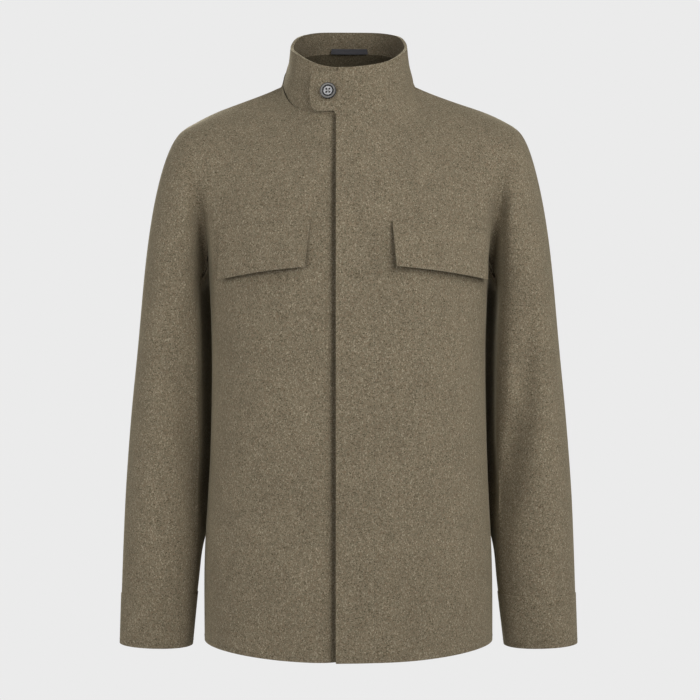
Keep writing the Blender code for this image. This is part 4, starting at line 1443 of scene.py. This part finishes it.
@dataclass
class Studio:
    """Pale floor, soft light and the camera."""

    camera_place: Point = (0.0018, -2.2, -0.3349)
    lens: float = 89.1
    sensor_width: float = 36.0
    clip_end: float = 60.0
    backdrop: float = 0.831
    floor_z: float = -0.76
    floor_radius: float = 12.0
    floor_grey: float = 0.55
    daylight: float = 0.05
    aim: Point = (0.0, 0.0, -0.34)
    lamps: tuple[Lamp, ...] = (
        Lamp("key", (1.9, -1.9, 1.6), 1.7, 42.0),
        Lamp("rim_left", (-2.5, -0.75, 0.0), 1.2, 19.0),
        Lamp("rim_right", (2.6, -0.30, 0.0), 1.2, 8.0),
        Lamp("fill_left", (-1.3, -2.5, 0.35), 1.2, 20.5),
        Lamp("fill_right", (1.5, -2.4, 0.35), 1.2, 25.5),
        Lamp("back", (-0.6, 3.0, 0.9), 1.6, 60.0),
    )

    def build(self) -> None:
        """Set up the floor, the backdrop, the lights and the camera."""
        self.build_floor()
        self.build_backdrop()
        for lamp in self.lamps:
            self.add_light(lamp)
        camera = bpy.data.cameras.new("camera")
        camera.lens = self.lens
        camera.sensor_width = self.sensor_width
        camera.clip_end = self.clip_end
        holder = bpy.data.objects.new("camera", camera)
        holder.location = self.camera_place
        holder.rotation_euler = (math.pi / 2.0, 0.0, 0.0)
        bpy.context.scene.collection.objects.link(holder)
        bpy.context.scene.camera = holder
        bpy.context.scene.view_settings.view_transform = "Standard"

    def add_light(self, lamp: Lamp) -> None:
        """Add one soft box that faces the garment.

        Args:
            lamp: Its place, size and power.
        """
        light = bpy.data.lights.new(lamp.name, "AREA")
        light.size = lamp.size
        light.energy = lamp.power
        holder = bpy.data.objects.new(lamp.name, light)
        holder.location = lamp.place
        toward = Vector(self.aim) - Vector(lamp.place)
        holder.rotation_euler = toward.to_track_quat("-Z", "Y").to_euler()
        bpy.context.scene.collection.objects.link(holder)

    def build_floor(self) -> None:
        """Add the pale floor, which looks as bright as the backdrop."""
        deselect_all()
        bpy.ops.mesh.primitive_circle_add(
            vertices=96, radius=self.floor_radius, fill_type="NGON",
            location=(0.0, 0.0, self.floor_z),
        )
        floor = bpy.context.object
        floor.name = "studio_floor"
        bpy.ops.object.transform_apply(location=True)
        material, tree, _shader = blank_finish("studio_paper")
        tree.nodes.clear()
        paper = add_node(tree, "ShaderNodeBsdfDiffuse", {"Color": (self.floor_grey,) * 3 + (1.0,)})
        glow = add_node(tree, "ShaderNodeEmission", {"Color": (self.backdrop,) * 3 + (1.0,)})
        self.part_ways(tree, "ShaderNodeOutputMaterial", paper.outputs[0], glow.outputs[0])
        floor.data.materials.append(material)

    def build_backdrop(self) -> None:
        """Make the world a plain pale backdrop that lights the garment from all sides."""
        world = bpy.data.worlds.new("studio")
        bpy.context.scene.world = world
        world.use_nodes = True
        tree = world.node_tree
        tree.nodes.clear()
        daylight = add_node(
            tree, "ShaderNodeBackground", {"Color": (1.0,) * 4, "Strength": self.daylight}
        )
        paper = add_node(tree, "ShaderNodeBackground", {"Color": (self.backdrop,) * 3 + (1.0,)})
        self.part_ways(tree, "ShaderNodeOutputWorld", daylight.outputs[0], paper.outputs[0])

    @staticmethod
    def part_ways(
        tree: bpy.types.NodeTree, output: str, lit: bpy.types.NodeSocket, seen: bpy.types.NodeSocket
    ) -> None:
        """Give the camera one shader to see and the light another to bounce off.

        Args:
            tree: The empty node tree.
            output: The kind of its output node.
            lit: The shader for everything but the camera.
            seen: The shader that the camera sees.
        """
        path = tree.nodes.new("ShaderNodeLightPath")
        mix = add_node(
            tree, "ShaderNodeMixShader", {"Fac": path.outputs["Is Camera Ray"], 1: lit, 2: seen}
        )
        add_node(tree, output, {"Surface": mix.outputs["Shader"]})


def main() -> None:
    """Build the overshirt's looks in order."""
    logging.basicConfig(level=logging.INFO, format="%(name)s: %(message)s")
    Studio().build()
    cloths = Garment().build()
    Stitching(cloths).build()
    CollarButton().build()


if __name__ == "__main__":
    main()
